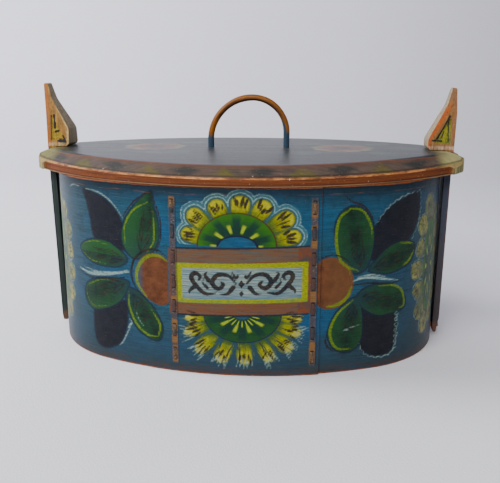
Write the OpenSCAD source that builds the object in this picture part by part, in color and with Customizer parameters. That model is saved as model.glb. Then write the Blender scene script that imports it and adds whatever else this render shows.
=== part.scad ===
// Bentwood tine box: an oval box whose side is one bent strip of wood, lapped and sewn
// with split root at the front, with two springy end posts whose carved heads snap over
// the lid. Millimetres. X runs along the box, -Y is the sewn front and Z is up.
// The origin is on the table, under the middle of the box.

/* [Body] */
// Length of the bent side over its ends
body_l = 370; // [320:5:430]
// Width of the bent side over its long faces
body_w = 250; // [215:5:290]
// Height of the bent side
side_h = 166; // [130:2:210]
// Thickness of the bent strip
wall_t = 4; // [3:0.5:6]
// How much the radius of the round ends falls short of half the width
end_flat = 17; // [10:1:26]

/* [Lap] */
// Distance from the middle to the left row of sewing
seam_left = 52; // [38:1:72]
// Distance from the middle to the right row of sewing
seam_right = 67; // [40:1:74]
// Bare edge of the lap outside the rows of sewing
lap_edge = 6; // [5:0.5:10]
// How far the outer end of the strip stands proud at the right edge of the lap
lap_proud = 1.8; // [1:0.1:2.2]
// How far the thinned inner end of the strip stands in at the left edge of the lap
lap_inner = 1.6; // [1:0.1:2.5]

/* [Sewing] */
// Width of the split root
root_w = 3.6; // [2.5:0.1:5]
// Thickness of the split root
root_t = 1.2; // [0.8:0.1:2]
// Height of one stitch, from slit to slit
stitch_h = 11; // [9:0.5:16]
// Least height of plain strip above and below the rows of sewing
seam_margin = 10; // [8:1:20]

/* [Bottom] */
// Thickness of the bottom board
bottom_t = 16; // [15:1:22]
// Diameter of the pegs that hold the bottom board
peg_d = 4; // [3:0.5:6]
// Length of the pegs that hold the bottom board
peg_l = 22; // [15:1:30]

/* [Posts] */
// Width of the posts below the lid
post_w = 38; // [34:1:50]
// Thickness of the posts
post_t = 6; // [4:0.5:9]
// Height of the feet of the posts above the table
foot_z = 6; // [4:0.5:7]
// Width of the neck, and of the root of the head
head_w = 29; // [22:1:32]
// Width of the tip of the head, seen from the end of the box
tip_w = 11; // [8:1:20]
// Thickness of the tip of the head
tip_t = 4; // [3:0.5:7]
// Depth of the carved triangles in the faces of the heads
carve_d = 2.5; // [1:0.5:5]
// Diameter of the pegs that hold the feet of the posts
post_peg_d = 5; // [4:0.5:6]

/* [Left post] */
// How far the left post leans out at the height of the lid
left_lean = 3; // [0:0.5:4]
// Height of the left head above the lid
left_head_h = 61; // [50:0.5:75]
// How far the left head reaches in over the lid
left_hook = 13; // [10:0.5:20]
// Height of the nose of the left head
left_nose_h = 18; // [8:1:22]
// How far the tip of the left head stands out past its root
left_tip_out = 3.5; // [0:0.5:4]
// Width of the bevel at the foot of the left post
left_foot_bevel = 1; // [0.5:0.5:3]

/* [Right post] */
// How far the right post leans out at the height of the lid
right_lean = 2; // [0:0.5:4]
// Height of the right head above the lid
right_head_h = 57.5; // [50:0.5:75]
// How far the right head reaches in over the lid
right_hook = 16; // [10:0.5:20]
// Height of the nose of the right head
right_nose_h = 10; // [8:1:22]
// How far the tip of the right head stands out past its root
right_tip_out = 1; // [0:0.5:4]
// Width of the bevel at the foot of the right post
right_foot_bevel = 2.5; // [0.5:0.5:3]

/* [Lid] */
// How far each end of the lid stands out past the bent side
lid_over_end = 22; // [18:1:30]
// How far the long edges of the lid stand out past the bent side
lid_over_side = 3.5; // [2.5:0.5:8]
// Thickness of the lid board along its middle
lid_t = 18.5; // [15:0.5:24]
// Height of the rounding across the top of the lid
crown = 2; // [1:0.25:3]
// Thickness left at the middle of the long edges
edge_t = 7.8; // [6:0.2:11]
// Thickness left at the ends of the lid
end_edge_t = 12.5; // [8:0.5:14]
// Width of the bevel along the long edges
bevel_w = 13.5; // [10:0.5:20]
// Length of the slope at each end
end_slope = 18; // [12:1:24]
// How far the corners lie in from the ends of the lid
corner_in = 33; // [26:1:40]
// Width of the lid across its corners
corner_w = 116; // [100:1:128]

/* [Handle] */
// Thickness of the bent rod
rod_d = 6.4; // [5:0.2:9]
// Distance from the middle to the left foot of the handle
foot_left = 36; // [30:1:40]
// Distance from the middle to the right foot of the handle
foot_right = 38; // [30:1:45]
// How far the top of the bow lies to the right of the middle
bow_shift = 5; // [0:1:8]
// Height of the handle above the lid
bow_h = 51; // [48:1:65]
// Length of the wedges in the lower ends of the handle
wedge_l = 12; // [8:1:14]

/* [Fits] */
// Gap between pieces that move past each other
gap = 0.4; // [0.3:0.1:0.8]
// Gap between pieces that are fitted tight
fit_gap = 0.1; // [0.05:0.05:0.2]

/* [Hidden] */
$fn = 120;
wide_fn = 720;                                 // for circles several times the box's size
over = 1;                                      // overshoot of cutting shapes

// The oval: two long arcs about (0, +-long_c) and two round ends about (+-end_c, 0)
a = body_l / 2;
b = body_w / 2;
end_r = b - end_flat;
end_c = a - end_r;
long_r = (end_c * end_c + b * b - end_r * end_r) / (2 * end_flat);
long_c = long_r - b;
arc_half = asin(end_c / (long_r - end_r));     // half the angle of a long arc

// The lap: both ends of the strip follow the long arc, moved a little sideways, so that
// they grow from a feather edge to their full step
feather_t = 0.35;
feather_l = 22;
lap_left = -seam_left - lap_edge;
lap_right = seam_right + lap_edge;
outer_end = arc_shift(lap_left - feather_l, feather_t, lap_right, lap_proud);
inner_end = arc_shift(lap_left, -lap_inner, lap_right + feather_l, -feather_t);

// The sewing: an odd number of stitches, outside and inside by turns
stitches = 2 * floor((side_h - 2 * seam_margin - stitch_h) / (2 * stitch_h)) + 1;
seam_z = (side_h - stitches * stitch_h) / 2;

// The bottom
side_pegs = 4;                                 // pegs along each long side
end_peg_turn = 38;                             // angle of the pegs on the round ends
peg_z = bottom_t / 2;

// The posts
post_x = a + gap;                              // inner face of a post at its foot
post_peg_z = foot_z + 5;
post_peg_y = post_w / 4;
post_peg_l = 24;
post_peg_out = 0.8;                            // the pegs stand out of the post
foot_relief = 1;                               // lets the foot turn when the post springs
foot_slope = 6;                                // height of the foot bevel over its width
shoulder_z = side_h - 2 * gap;
neck_flare = 2;
lid_top = side_h + lid_t;
hook_z = lid_top + gap;
back_at = 0.6;                                 // height and swell of the back of a head
back_swell = 1.8;
knee = [4, 15];                                // step in the inner line below the tip
carve_margin = 3;
carve_at = [6, 8, 0.55];                       // heights of the corners of a carving

// The lid
lid_a = a + lid_over_end;
lid_b = b + lid_over_side;
corner_x = lid_a - corner_in;
corner_y = corner_w / 2;
lid_sag = lid_b - corner_y;
lid_r = (corner_x * corner_x + lid_sag * lid_sag) / (2 * lid_sag);
lobe_out = 2;                                  // the ends are rounded beyond the corners
lobe_y = corner_y + lobe_out;
lobe_r = (lobe_y * lobe_y + corner_in * corner_in) / (2 * corner_in);
bevel_fade = 9;                                // the bevel follows a wider arc than the edge
bevel_r = lid_r + bevel_fade;
bevel_run = bevel_w / (lid_t - crown - edge_t);
crown_half = lid_b - bevel_w;
crown_r = (crown_half * crown_half + crown * crown) / (2 * crown);
notch_w = head_w + 2 * gap;

// The handle: two quarter bows of different radius that meet at the top
rod_r = rod_d / 2;
bow_z = lid_top + bow_h - rod_r;
left_r = foot_left + bow_shift;
right_r = foot_right - bow_shift;
rod_out = 2;                                   // the rod ends stand out below the lid
wedge_out = 1.5;
wedge_thick = 1.6;
wedge_tip = 0.6;

// ---- helpers ----

// Sideways and forward move of a long arc that sets it t0 and t1 proud at x0 and x1
function arc_shift(x0, t0, x1, t1) =
    let (s0 = x0 / long_r, s1 = x1 / long_r, c0 = sqrt(1 - s0 * s0), c1 = sqrt(1 - s1 * s1),
         dx = (t1 * c0 - t0 * c1) / (s1 * c0 - s0 * c1))
    [dx, (t0 - dx * s0) / c0];

// How far a moved long arc stands proud of the true one at x
function proud(shift, x) = shift[0] * x / long_r + shift[1] * sqrt(1 - pow(x / long_r, 2));

// Points of an outline through corners [x, y, radius], each rounded by its radius
function unit(v) = v / norm(v);
function corner(p, q, r, steps = 5) =
    let (m = [q[0], q[1]], u = unit([p[0], p[1]] - m), v = unit([r[0], r[1]] - m),
         half = acos(u * v) / 2, centre = m + unit(u + v) * q[2] / sin(half),
         from = m + u * q[2] / tan(half) - centre,
         turn = (180 - 2 * half) * (u[0] * v[1] > u[1] * v[0] ? -1 : 1))
    [for (i = [0 : steps]) let (t = turn * i / steps)
        centre + [from[0] * cos(t) - from[1] * sin(t), from[0] * sin(t) + from[1] * cos(t)]];
function rounded(pts) = let (n = len(pts)) [for (i = [0 : n - 1])
    each pts[i][2] == 0 ? [[pts[i][0], pts[i][1]]]
                        : corner(pts[(i + n - 1) % n], pts[i], pts[(i + 1) % n])];

// A flat oval, inset from the outer face of the bent side
module oval(inset = 0) {
    join_x = end_c + (end_r - inset) * sin(arc_half);
    for (s = [-1, 1]) translate([s * end_c, 0]) circle(r = end_r - inset);
    intersection() {
        square([2 * join_x, 2 * b + over], center = true);
        translate([0, long_c]) circle(r = long_r - inset, $fn = wide_fn);
        translate([0, -long_c]) circle(r = long_r - inset, $fn = wide_fn);
    }
}

// The front long arc as a full disc, moved by a shift
module front_disc(shift, inset = 0) {
    translate([shift[0], long_c - shift[1]]) circle(r = long_r - inset, $fn = wide_fn);
}

// The stretch of the front from x0 to x1
module front_strip(x0, x1) {
    translate([x0, -b - lap_proud - over]) square([x1 - x0, b / 2]);
}

// Puts children on the front long arc at x, with -Y pointing out of the box
module on_front(x) {
    translate([0, long_c]) rotate(asin(x / long_r)) translate([0, -long_r]) children();
}

// Lays children that point along +Z through the wall: from outside, square to the wall
module bottom_peg_places() {
    for (s = [-1, 1]) {
        for (i = [0 : side_pegs - 1])
            translate([0, -s * long_c, peg_z])
                rotate(s * 90 + arc_half * (2 * i + 1 - side_pegs) / side_pegs)
                    translate([long_r, 0, 0]) rotate([0, -90, 0]) children();
        for (t = [-end_peg_turn, end_peg_turn])
            translate([s * end_c, 0, peg_z]) rotate(s > 0 ? t : 180 + t)
                translate([end_r, 0, 0]) rotate([0, -90, 0]) children();
    }
}

module post_peg_places(s) {
    for (y = [-post_peg_y, post_peg_y])
        translate([s * (post_x + post_t + post_peg_out), y, post_peg_z])
            rotate([0, -s * 90, 0]) children();
}

// ---- bent side, bottom and sewing ----

module band_outline() {
    difference() {
        union() {
            oval();
            intersection() {
                front_disc(outer_end);
                front_strip(lap_left - feather_l, lap_right);
            }
        }
        room_outline();
    }
}

// The room inside the bent side, drawn in by inset
module room_outline(inset = 0) {
    difference() {
        oval(wall_t + inset);
        difference() {
            front_strip(lap_left - inset, lap_right + feather_l + inset);
            front_disc(inner_end, wall_t + inset);
        }
    }
}

module side_band() {
    color("steelblue") difference() {
        linear_extrude(side_h) band_outline();
        for (x = [-seam_left, seam_right]) on_front(x) for (i = [0 : stitches])
            translate([0, 0, seam_z + i * stitch_h])
                cube([root_w + 2 * fit_gap, 6 * wall_t, root_t + 2 * fit_gap], center = true);
        bottom_peg_places() translate([0, 0, -2 * lap_proud])
            cylinder(d = peg_d + 2 * fit_gap, h = peg_l);
        for (s = [-1, 1]) post_peg_places(s)
            cylinder(d = post_peg_d + 2 * fit_gap, h = post_peg_l);
    }
}

module bottom_board() {
    color("burlywood") difference() {
        linear_extrude(bottom_t) room_outline(fit_gap);
        // grooves in the edge of the board for the sewing behind it
        for (x = [-seam_left, seam_right]) on_front(x)
            translate([-root_w / 2 - gap, 0, -over])
                cube([root_w + 2 * gap, wall_t + lap_inner + root_t + 2 * gap,
                    bottom_t + 2 * over]);
        bottom_peg_places() translate([0, 0, -over])
            cylinder(d = peg_d + 2 * fit_gap, h = peg_l + over + fit_gap);
        for (s = [-1, 1]) post_peg_places(s)
            cylinder(d = post_peg_d + 2 * fit_gap, h = post_peg_l + fit_gap);
    }
}

module bottom_pegs() {
    color("peru") bottom_peg_places() cylinder(d = peg_d, h = peg_l);
}

// Root seen from its edge: [y, z] up its inner side and down its outer side
function weave(y0, y1) =
    let (t = root_t, top = seam_z + stitches * stitch_h)
    concat([[y1, seam_z - t / 2]],
        [for (i = [0 : 2 : stitches - 1]) let (z = seam_z + i * stitch_h)
            each [[y1, z + t / 2], [y0 + t, z + t / 2],
                [y0 + t, z + stitch_h - t / 2], [y1, z + stitch_h - t / 2]]],
        [[y1, top + t / 2], [y0, top + t / 2]],
        [for (i = [stitches - 2 : -2 : 1]) let (z = seam_z + i * stitch_h)
            each [[y0, z + stitch_h - t / 2], [y1 - t, z + stitch_h - t / 2],
                [y1 - t, z + t / 2], [y0, z + t / 2]]],
        [[y0, seam_z - t / 2]]);

// One root, woven out and in through the slits at x
module lacing(x) {
    outside = -proud(outer_end, x) - fit_gap - root_t;
    inside = wall_t - proud(inner_end, x) + fit_gap + root_t;
    color("sandybrown") on_front(x) translate([-root_w / 2, 0, 0]) rotate([90, 0, 90])
        linear_extrude(root_w) polygon(weave(outside, inside));
}

module left_lacing() {
    lacing(-seam_left);
}

module right_lacing() {
    lacing(seam_right);
}

// ---- posts ----

// Outline of a right-hand post, seen from the front
module post_outline(lean, head_h, hook, nose_h, tip_out, foot_bevel) {
    neck_x = post_x + lean;
    root_x = neck_x + post_t + neck_flare;
    nose_x = neck_x - hook;
    tip_x = root_x + tip_out;
    top_z = lid_top + head_h;
    polygon(rounded([
        [post_x + foot_relief, foot_z, 0],
        [post_x + post_t - foot_bevel, foot_z, 0.4],
        [post_x + post_t, foot_z + foot_slope * foot_bevel, 0],
        [neck_x + post_t, side_h, 0],
        [root_x, lid_top, 20],
        [root_x + back_swell, lid_top + back_at * head_h, 60],
        [tip_x, top_z, 1.5],
        [tip_x - tip_t, top_z, 1.5],
        [tip_x - tip_t - knee[0], top_z - knee[1], 20],
        [nose_x, lid_top + nose_h, 10],
        [nose_x, hook_z + 2.5, 2],
        [nose_x + 2.5, hook_z, 0],
        [neck_x, hook_z, 0],
        [neck_x, side_h, 0],
        [post_x, post_peg_z, 0]
    ]));
}

// Outline of a post seen from the end: shoulders below the lid and a tapering head
module post_end_outline(head_h) {
    polygon([for (side = [-1, 1]) each side > 0
        ? [[post_w / 2, foot_z - over], [post_w / 2, shoulder_z], [head_w / 2, shoulder_z],
            [head_w / 2, lid_top], [tip_w / 2, lid_top + head_h], [tip_w / 2, lid_top + head_h + over]]
        : [[-tip_w / 2, lid_top + head_h + over], [-tip_w / 2, lid_top + head_h],
            [-head_w / 2, lid_top], [-head_w / 2, shoulder_z], [-post_w / 2, shoulder_z],
            [-post_w / 2, foot_z - over]]]);
}

// Carved triangle, set in from the edges of a head; heights are from the lid up
module carving_outline(lean, head_h, hook) {
    root_x = post_x + lean + post_t + neck_flare;
    nose_x = post_x + lean - hook;
    polygon(rounded([
        [root_x - carve_margin, carve_at[0], 0.8],
        [root_x - carve_margin, carve_at[2] * head_h, 0.8],
        [nose_x + 1.5 * carve_margin, carve_at[1], 0.8]
    ]));
}

module post(lean, head_h, hook, nose_h, tip_out, foot_bevel) {
    face_tilt = atan((head_w - tip_w) / 2 / head_h);
    color("saddlebrown") difference() {
        intersection() {
            rotate([90, 0, 0]) translate([0, 0, -post_w / 2]) linear_extrude(post_w)
                post_outline(lean, head_h, hook, nose_h, tip_out, foot_bevel);
            translate([post_x - 2 * hook, 0, 0]) rotate([90, 0, 90])
                linear_extrude(4 * hook) post_end_outline(head_h);
        }
        // the carvings follow the tilt of the two faces
        for (back = [0, 1]) mirror([0, back, 0]) translate([0, -head_w / 2, lid_top])
            rotate([-face_tilt, 0, 0]) rotate([90, 0, 0])
                translate([0, 0, -carve_d]) linear_extrude(2 * carve_d)
                    carving_outline(lean, head_h, hook);
        post_peg_places(1) cylinder(d = post_peg_d + 2 * gap, h = post_peg_l);
    }
}

module left_post() {
    mirror([1, 0, 0])
        post(left_lean, left_head_h, left_hook, left_nose_h, left_tip_out, left_foot_bevel);
}

module right_post() {
    post(right_lean, right_head_h, right_hook, right_nose_h, right_tip_out, right_foot_bevel);
}

module left_post_pegs() {
    color("peru") post_peg_places(-1) cylinder(d = post_peg_d, h = post_peg_l);
}

module right_post_pegs() {
    color("peru") post_peg_places(1) cylinder(d = post_peg_d, h = post_peg_l);
}

// ---- lid and handle ----

module lid_outline() {
    intersection() {
        union() {
            for (s = [-1, 1]) translate([s * (lid_a - lobe_r), 0]) circle(r = lobe_r);
            square([2 * corner_x, 2 * lid_b + over], center = true);
        }
        translate([0, lid_r - lid_b]) circle(r = lid_r, $fn = wide_fn);
        translate([0, lid_b - lid_r]) circle(r = lid_r, $fn = wide_fn);
    }
}

// Cone that leaves the bevel along the front edge
module bevel_cone() {
    translate([0, bevel_r - lid_b, side_h - over])
        cylinder(r1 = bevel_r + bevel_run * (edge_t + over),
            r2 = bevel_r - bevel_run * (lid_t - edge_t + over),
            h = lid_t + 2 * over, $fn = wide_fn);
}

module lid_board() {
    end_drop = lid_t - end_edge_t;
    color("slategray") difference() {
        intersection() {
            translate([0, 0, side_h]) linear_extrude(lid_t + over) lid_outline();
            bevel_cone();
            mirror([0, 1, 0]) bevel_cone();
            translate([0, 0, lid_top - crown_r]) rotate([0, 90, 0])
                cylinder(r = crown_r, h = 3 * lid_a, center = true, $fn = 2 * wide_fn);
        }
        for (s = [0, 1]) mirror([s, 0, 0]) {
            // slope towards the end
            translate([lid_a - end_slope, 0, lid_top])
                rotate([0, atan(end_drop / end_slope), 0]) translate([0, -lid_b, 0])
                    cube([2 * end_slope, 2 * lid_b, lid_t]);
            // open notch for the neck of the post
            translate([post_x + (s > 0 ? left_lean : right_lean) - gap, -notch_w / 2,
                    side_h - over])
                cube([2 * lid_over_end, notch_w, lid_t + 2 * over]);
        }
        for (x = [-foot_left, foot_right]) translate([x, 0, side_h - over])
            cylinder(d = rod_d + 2 * fit_gap, h = lid_t + 2 * over);
    }
}

// Wedge seen from the front, thicker by grow all round
module wedge_outline(grow = 0) {
    polygon([
        [-wedge_thick / 2 - grow, side_h - rod_out - wedge_out - grow],
        [wedge_thick / 2 + grow, side_h - rod_out - wedge_out - grow],
        [wedge_tip / 2 + grow, side_h - rod_out + wedge_l + grow],
        [-wedge_tip / 2 - grow, side_h - rod_out + wedge_l + grow]
    ]);
}

module bow_quarter(r) {
    translate([0, 0, bow_z - r]) rotate([90, 0, 0])
        rotate_extrude(angle = 90) translate([r, 0]) circle(r = rod_r, $fn = 48);
    translate([r, 0, side_h - rod_out])
        cylinder(r = rod_r, h = bow_z - r - side_h + rod_out, $fn = 48);
}

module lid_handle() {
    color("darkgoldenrod") difference() {
        translate([bow_shift, 0, 0]) {
            bow_quarter(right_r);
            mirror([1, 0, 0]) bow_quarter(left_r);
        }
        for (x = [-foot_left, foot_right]) translate([x, 0, 0]) rotate([90, 0, 0])
            translate([0, 0, -rod_d]) linear_extrude(2 * rod_d) wedge_outline(fit_gap / 2);
    }
}

module handle_wedges() {
    color("tan") for (x = [-foot_left, foot_right]) translate([x, 0, 0]) rotate([90, 0, 0])
        translate([0, 0, -rod_r]) linear_extrude(rod_d) wedge_outline();
}

side_band();
bottom_board();
bottom_pegs();
left_lacing();
right_lacing();
left_post();
right_post();
left_post_pegs();
right_post_pegs();
lid_board();
lid_handle();
handle_wedges();
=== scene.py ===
"""Looks of an oval bentwood tine box: painted side, sewn seam, bevelled lid, bow handle, spring posts."""
from types import SimpleNamespace
import bmesh
import bpy
import numpy as np
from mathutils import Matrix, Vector


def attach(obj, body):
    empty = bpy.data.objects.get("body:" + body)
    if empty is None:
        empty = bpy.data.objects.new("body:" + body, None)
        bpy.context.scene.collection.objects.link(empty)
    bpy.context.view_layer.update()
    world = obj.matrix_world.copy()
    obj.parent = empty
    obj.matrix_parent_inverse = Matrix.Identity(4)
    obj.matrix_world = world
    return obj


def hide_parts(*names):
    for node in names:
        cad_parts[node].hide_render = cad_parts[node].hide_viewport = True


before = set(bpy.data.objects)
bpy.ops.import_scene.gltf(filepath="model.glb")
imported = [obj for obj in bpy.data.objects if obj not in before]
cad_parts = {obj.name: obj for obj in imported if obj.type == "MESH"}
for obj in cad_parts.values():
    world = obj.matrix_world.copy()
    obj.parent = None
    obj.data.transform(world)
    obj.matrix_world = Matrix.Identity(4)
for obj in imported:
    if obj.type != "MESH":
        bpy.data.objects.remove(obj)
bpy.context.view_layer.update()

MM = 0.001

# ---------------------------------------------------------------- sizes in mm, as in the frame
END_R, END_C = 108.0, 77.0                       # round ends of the oval and their centres
LONG_R, LONG_C = 290.8824, 165.8824              # long arcs and their centres
ARC_HALF = np.arcsin(END_C / (LONG_R - END_R))
ARC_L, END_L = LONG_R * ARC_HALF, END_R * (np.pi - 2 * ARC_HALF)
ROUND = 4 * ARC_L + 2 * END_L                    # way round the oval
SIDE_H, WALL = 166.0, 4.0
# the leaves of the lap: (how far each is moved to the right and out, X of its start and end)
OUTER_LEAF, INNER_LEAF = (2.7424, 1.1485, -80.0, 73.0), (2.300, -1.165, -58.0, 95.0)
SEAMS = (-52.0, 67.0)                            # X of the two rows of sewing
SLIT_Z, SLIT_STEP, STITCHES = 11.5, 11.0, 13     # lowest slit, one stitch, stitches in a row
ROOT_W, ROOT_T = 3.6, 1.2

LID_R, LID_C = 249.97, 121.47                    # long edges of the lid and their centres
LOBE_R, LOBE_C, LOBE_FROM = 71.05, 135.95, 174.0   # its round ends, their centres, X where they start
NOTCH_Y, NOTCH_RIGHT, NOTCH_LEFT = 14.9, 187.0, 188.0   # half-width of the notches, X of their floors
LID_Z, LID_TOP = 166.0, 184.5
BEVEL_R, BEVEL_C, BEVEL_Z, BEVEL_RUN = 258.97, 130.47, 173.8, 1.5517   # cone of the bevel, run for 1 up
CROWN_R = 3307.0                                 # arch of the top from front to back

ROD_R, ROD_BOWS = 3.2, (41.0, 33.0)              # half thickness of the rod, its left and right bow
ROD_MIDDLE, ROD_TOP, ROD_FOOT = 5.0, 232.3, 164.0
POST_PEG_Y, POST_PEG_Z, POST_HOLE_R = 9.5, 11.0, 2.9
POST_HOLE_TALL = 3.4                             # half-height of the holes once they are made taller

SKIN = 0.12                                      # the painted skin stands off the bare solid
# painting, in mm along the side from the front middle and up
UPPER_FLOWER, LOWER_FLOWER, END_FLOWER = (3.0, 116.0), (7.5, 57.0), (197.0, 84.0)
PAINTED = 250.0                                  # the flowers reach this far to each side
FAR = 50.0                                       # distance written where no paint is near

rng = np.random.RandomState(1876)                # fixed seed of the brush strokes


# ---------------------------------------------------------------- shader arithmetic
class Amount:
    """A number that varies over a surface. Its arithmetic adds Math nodes."""

    def __init__(self, finish, out):
        self.finish, self.out = finish, out

    def _math(self, operation, *terms):
        return self.finish.node("ShaderNodeMath", {"operation": operation}, dict(enumerate(terms)))

    def __add__(self, o): return self._math("ADD", self, o)
    def __radd__(self, o): return self._math("ADD", o, self)
    def __sub__(self, o): return self._math("SUBTRACT", self, o)
    def __rsub__(self, o): return self._math("SUBTRACT", o, self)
    def __mul__(self, o): return self._math("MULTIPLY", self, o)
    def __rmul__(self, o): return self._math("MULTIPLY", o, self)
    def __truediv__(self, o): return self._math("DIVIDE", self, o)
    def __neg__(self): return self._math("MULTIPLY", self, -1.0)
    def __abs__(self): return self._math("ABSOLUTE", self)
    def __gt__(self, o): return self._math("GREATER_THAN", self, o)
    def __lt__(self, o): return self._math("LESS_THAN", self, o)
    def high(self, o): return self._math("MAXIMUM", self, o)
    def cos(self): return self._math("COSINE", self)
    def root(self): return self._math("SQRT", self)
    def part(self): return self._math("FRACT", self)

    def clip(self):
        """Kept between 0 and 1."""
        return self.finish.node("ShaderNodeMath", {"operation": "ADD", "use_clamp": True}, {0: self, 1: 0.0})

    def steep(self, gain, less):
        """Made steeper and cut to 0 to 1, so that a soft noise turns into patches with edges."""
        return (self * gain - less).clip()

    def rise(self, a, b):
        """0 at a, 1 at b, a straight slope between and level outside; b may be the smaller."""
        return self.finish.node("ShaderNodeMapRange", {"clamp": True}, {0: self, 1: a, 2: b, 3: 0.0, 4: 1.0})

    def within(self, soft=0.8):
        """1 where a distance is below nought, fading over soft."""
        return self.rise(soft / 2, -soft / 2)


class Finish:
    """One material while it is being made."""

    def __init__(self, name, **sockets):
        self.material = bpy.data.materials.new(name)
        self.material.use_nodes = True
        self.nodes, self.links = self.material.node_tree.nodes, self.material.node_tree.links
        self.nodes.clear()
        self.shader = self.nodes.new("ShaderNodeBsdfPrincipled")
        output = self.nodes.new("ShaderNodeOutputMaterial")
        self.links.new(self.shader.outputs[0], output.inputs[0])
        for key, value in sockets.items():
            self.shader.inputs[key.replace("_", " ")].default_value = value

    def node(self, kind, settings=None, sockets=None, out=0):
        """Any node: its settings first, then the values or links of its sockets."""
        n = self.nodes.new(kind)
        for key, value in (settings or {}).items():
            setattr(n, key, value)
        for key, value in (sockets or {}).items():
            if isinstance(value, Amount):
                self.links.new(value.out, n.inputs[key])
            else:
                n.inputs[key].default_value = value
        return Amount(self, n.outputs[out])

    def field(self, name):
        """The three numbers that a piece carries at each vertex under a name."""
        return self.parts(self.node("ShaderNodeAttribute", {"attribute_name": name}, out=1))

    def parts(self, v):
        """The three numbers of a vector."""
        n = self.nodes.new("ShaderNodeSeparateXYZ")
        self.links.new(v.out, n.inputs[0])
        return [Amount(self, n.outputs[i]) for i in range(3)]

    def place(self, out="Object"):
        """Place on the piece in mm, or with Normal the way that its face looks."""
        n = self.nodes.new("ShaderNodeTexCoord")
        scale = 1000.0 if out == "Object" else 1.0
        v = self.node("ShaderNodeVectorMath", {"operation": "SCALE"},
                      {0: Amount(self, n.outputs[out]), "Scale": scale})
        return self.parts(v)

    def noise(self, x, y, z, detail=3.0, rough=0.5, swirl=0.0):
        """Smooth noise of a place, mostly between 0.3 and 0.7."""
        at = self.node("ShaderNodeCombineXYZ", None, {0: x, 1: y, 2: z})
        return self.node("ShaderNodeTexNoise", None, {"Vector": at, "Scale": 1.0, "Detail": detail,
                                                      "Roughness": rough, "Distortion": swirl})

    def mix(self, share, under, over):
        """Colour over laid on colour under by its share."""
        return self.node("ShaderNodeMix", {"data_type": "RGBA"}, {0: share, 6: under, 7: over}, out=2)

    def coats(self, colour, *layers):
        """Layers laid over a colour in turn, each given as its share and its colour."""
        for share, over in layers:
            colour = self.mix(share, colour, over)
        return colour

    def done(self, colour, roughness, height=None, lift=0.3, coat=None):
        """Links colour, roughness and a bump whose height is in mm."""
        for key, value in (("Base Color", colour), ("Roughness", roughness), ("Coat Weight", coat)):
            if isinstance(value, Amount):
                self.links.new(value.out, self.shader.inputs[key])
            elif value is not None:
                self.shader.inputs[key].default_value = value
        if height is not None:
            bump = self.node("ShaderNodeBump", None,
                             {"Strength": 1.0, "Distance": lift * MM, "Height": height})
            self.links.new(bump.out, self.shader.inputs["Normal"])
        return self.material


def tint(r, g, b):
    """A paint colour given as 0 to 255, turned to scene light."""
    c = np.array([r, g, b]) / 255.0
    c = np.where(c > 0.04045, ((c + 0.055) / 1.055) ** 2.4, c / 12.92)
    return (float(c[0]), float(c[1]), float(c[2]), 1.0)


# ---------------------------------------------------------------- meshes
def add_object(name, data):
    """A new object in the scene."""
    thing = bpy.data.objects.new(name, data)
    bpy.context.scene.collection.objects.link(thing)
    return thing


def make_piece(name, points, faces, body, node, finish):
    """A piece from points in mm and faces of four, put on its body in place of a node."""
    mesh = bpy.data.meshes.new(name)
    mesh.vertices.add(len(points))
    mesh.vertices.foreach_set("co", (points * MM).astype(np.float32).ravel())
    mesh.loops.add(faces.size)
    mesh.loops.foreach_set("vertex_index", faces.astype(np.int32).ravel())
    mesh.polygons.add(len(faces))
    mesh.polygons.foreach_set("loop_start", np.arange(0, faces.size, 4, dtype=np.int32))
    mesh.polygons.foreach_set("loop_total", np.full(len(faces), 4, dtype=np.int32))
    mesh.polygons.foreach_set("use_smooth", np.ones(len(faces), bool))
    mesh.update(calc_edges=True)
    piece = add_object(name, mesh)
    mesh.materials.append(finish)
    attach(piece, body)
    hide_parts(node)
    return piece


def carry(piece, name, values):
    """Keeps three numbers at each vertex under a name."""
    data = piece.data.attributes.new(name, "FLOAT_VECTOR", "POINT")
    data.data.foreach_set("vector", np.asarray(values, np.float32).ravel())


def carry_on(piece, name, on, values, empty=(FAR, 0.0, 0.0)):
    """Keeps three numbers at the vertices listed in on, and the empty ones at all others."""
    everywhere = np.tile(np.asarray(empty, float), (len(piece.data.vertices), 1))
    everywhere[on] = values
    carry(piece, name, everywhere)


def close_grid(rows, cols, wrap_rows=True, wrap_cols=True):
    """Faces of a grid of rows x cols points, joined round where it wraps."""
    r = np.arange(rows if wrap_rows else rows - 1)
    c = np.arange(cols if wrap_cols else cols - 1)
    r, c = np.meshgrid(r, c, indexing="ij")
    r2, c2 = (r + 1) % rows, (c + 1) % cols
    return np.stack([r * cols + c, r * cols + c2, r2 * cols + c2, r2 * cols + c], -1).reshape(-1, 4)


def tube(path, half, round_n, up):
    """A round rod along a path, of half thickness half at each point, square to the path. The first and
    last ring are drawn in to a point, so the ends are closed."""
    t = np.gradient(path, axis=0)
    t /= np.linalg.norm(t, axis=1)[:, None]
    across = np.cross(t, up)
    across /= np.linalg.norm(across, axis=1)[:, None]
    rise = np.cross(across, t)
    a = np.linspace(0, 2 * np.pi, round_n, endpoint=False)
    ring = (across[:, None] * np.cos(a)[None, :, None] + rise[:, None] * np.sin(a)[None, :, None])
    ring *= half[:, None, None]
    return (path[:, None] + ring).reshape(-1, 3), close_grid(len(path), round_n, wrap_rows=False)


def outwards(piece):
    """Faces turned so that they point out."""
    bm = bmesh.new()
    bm.from_mesh(piece.data)
    bmesh.ops.recalc_face_normals(bm, faces=bm.faces)
    bm.to_mesh(piece.data)
    bm.free()


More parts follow.
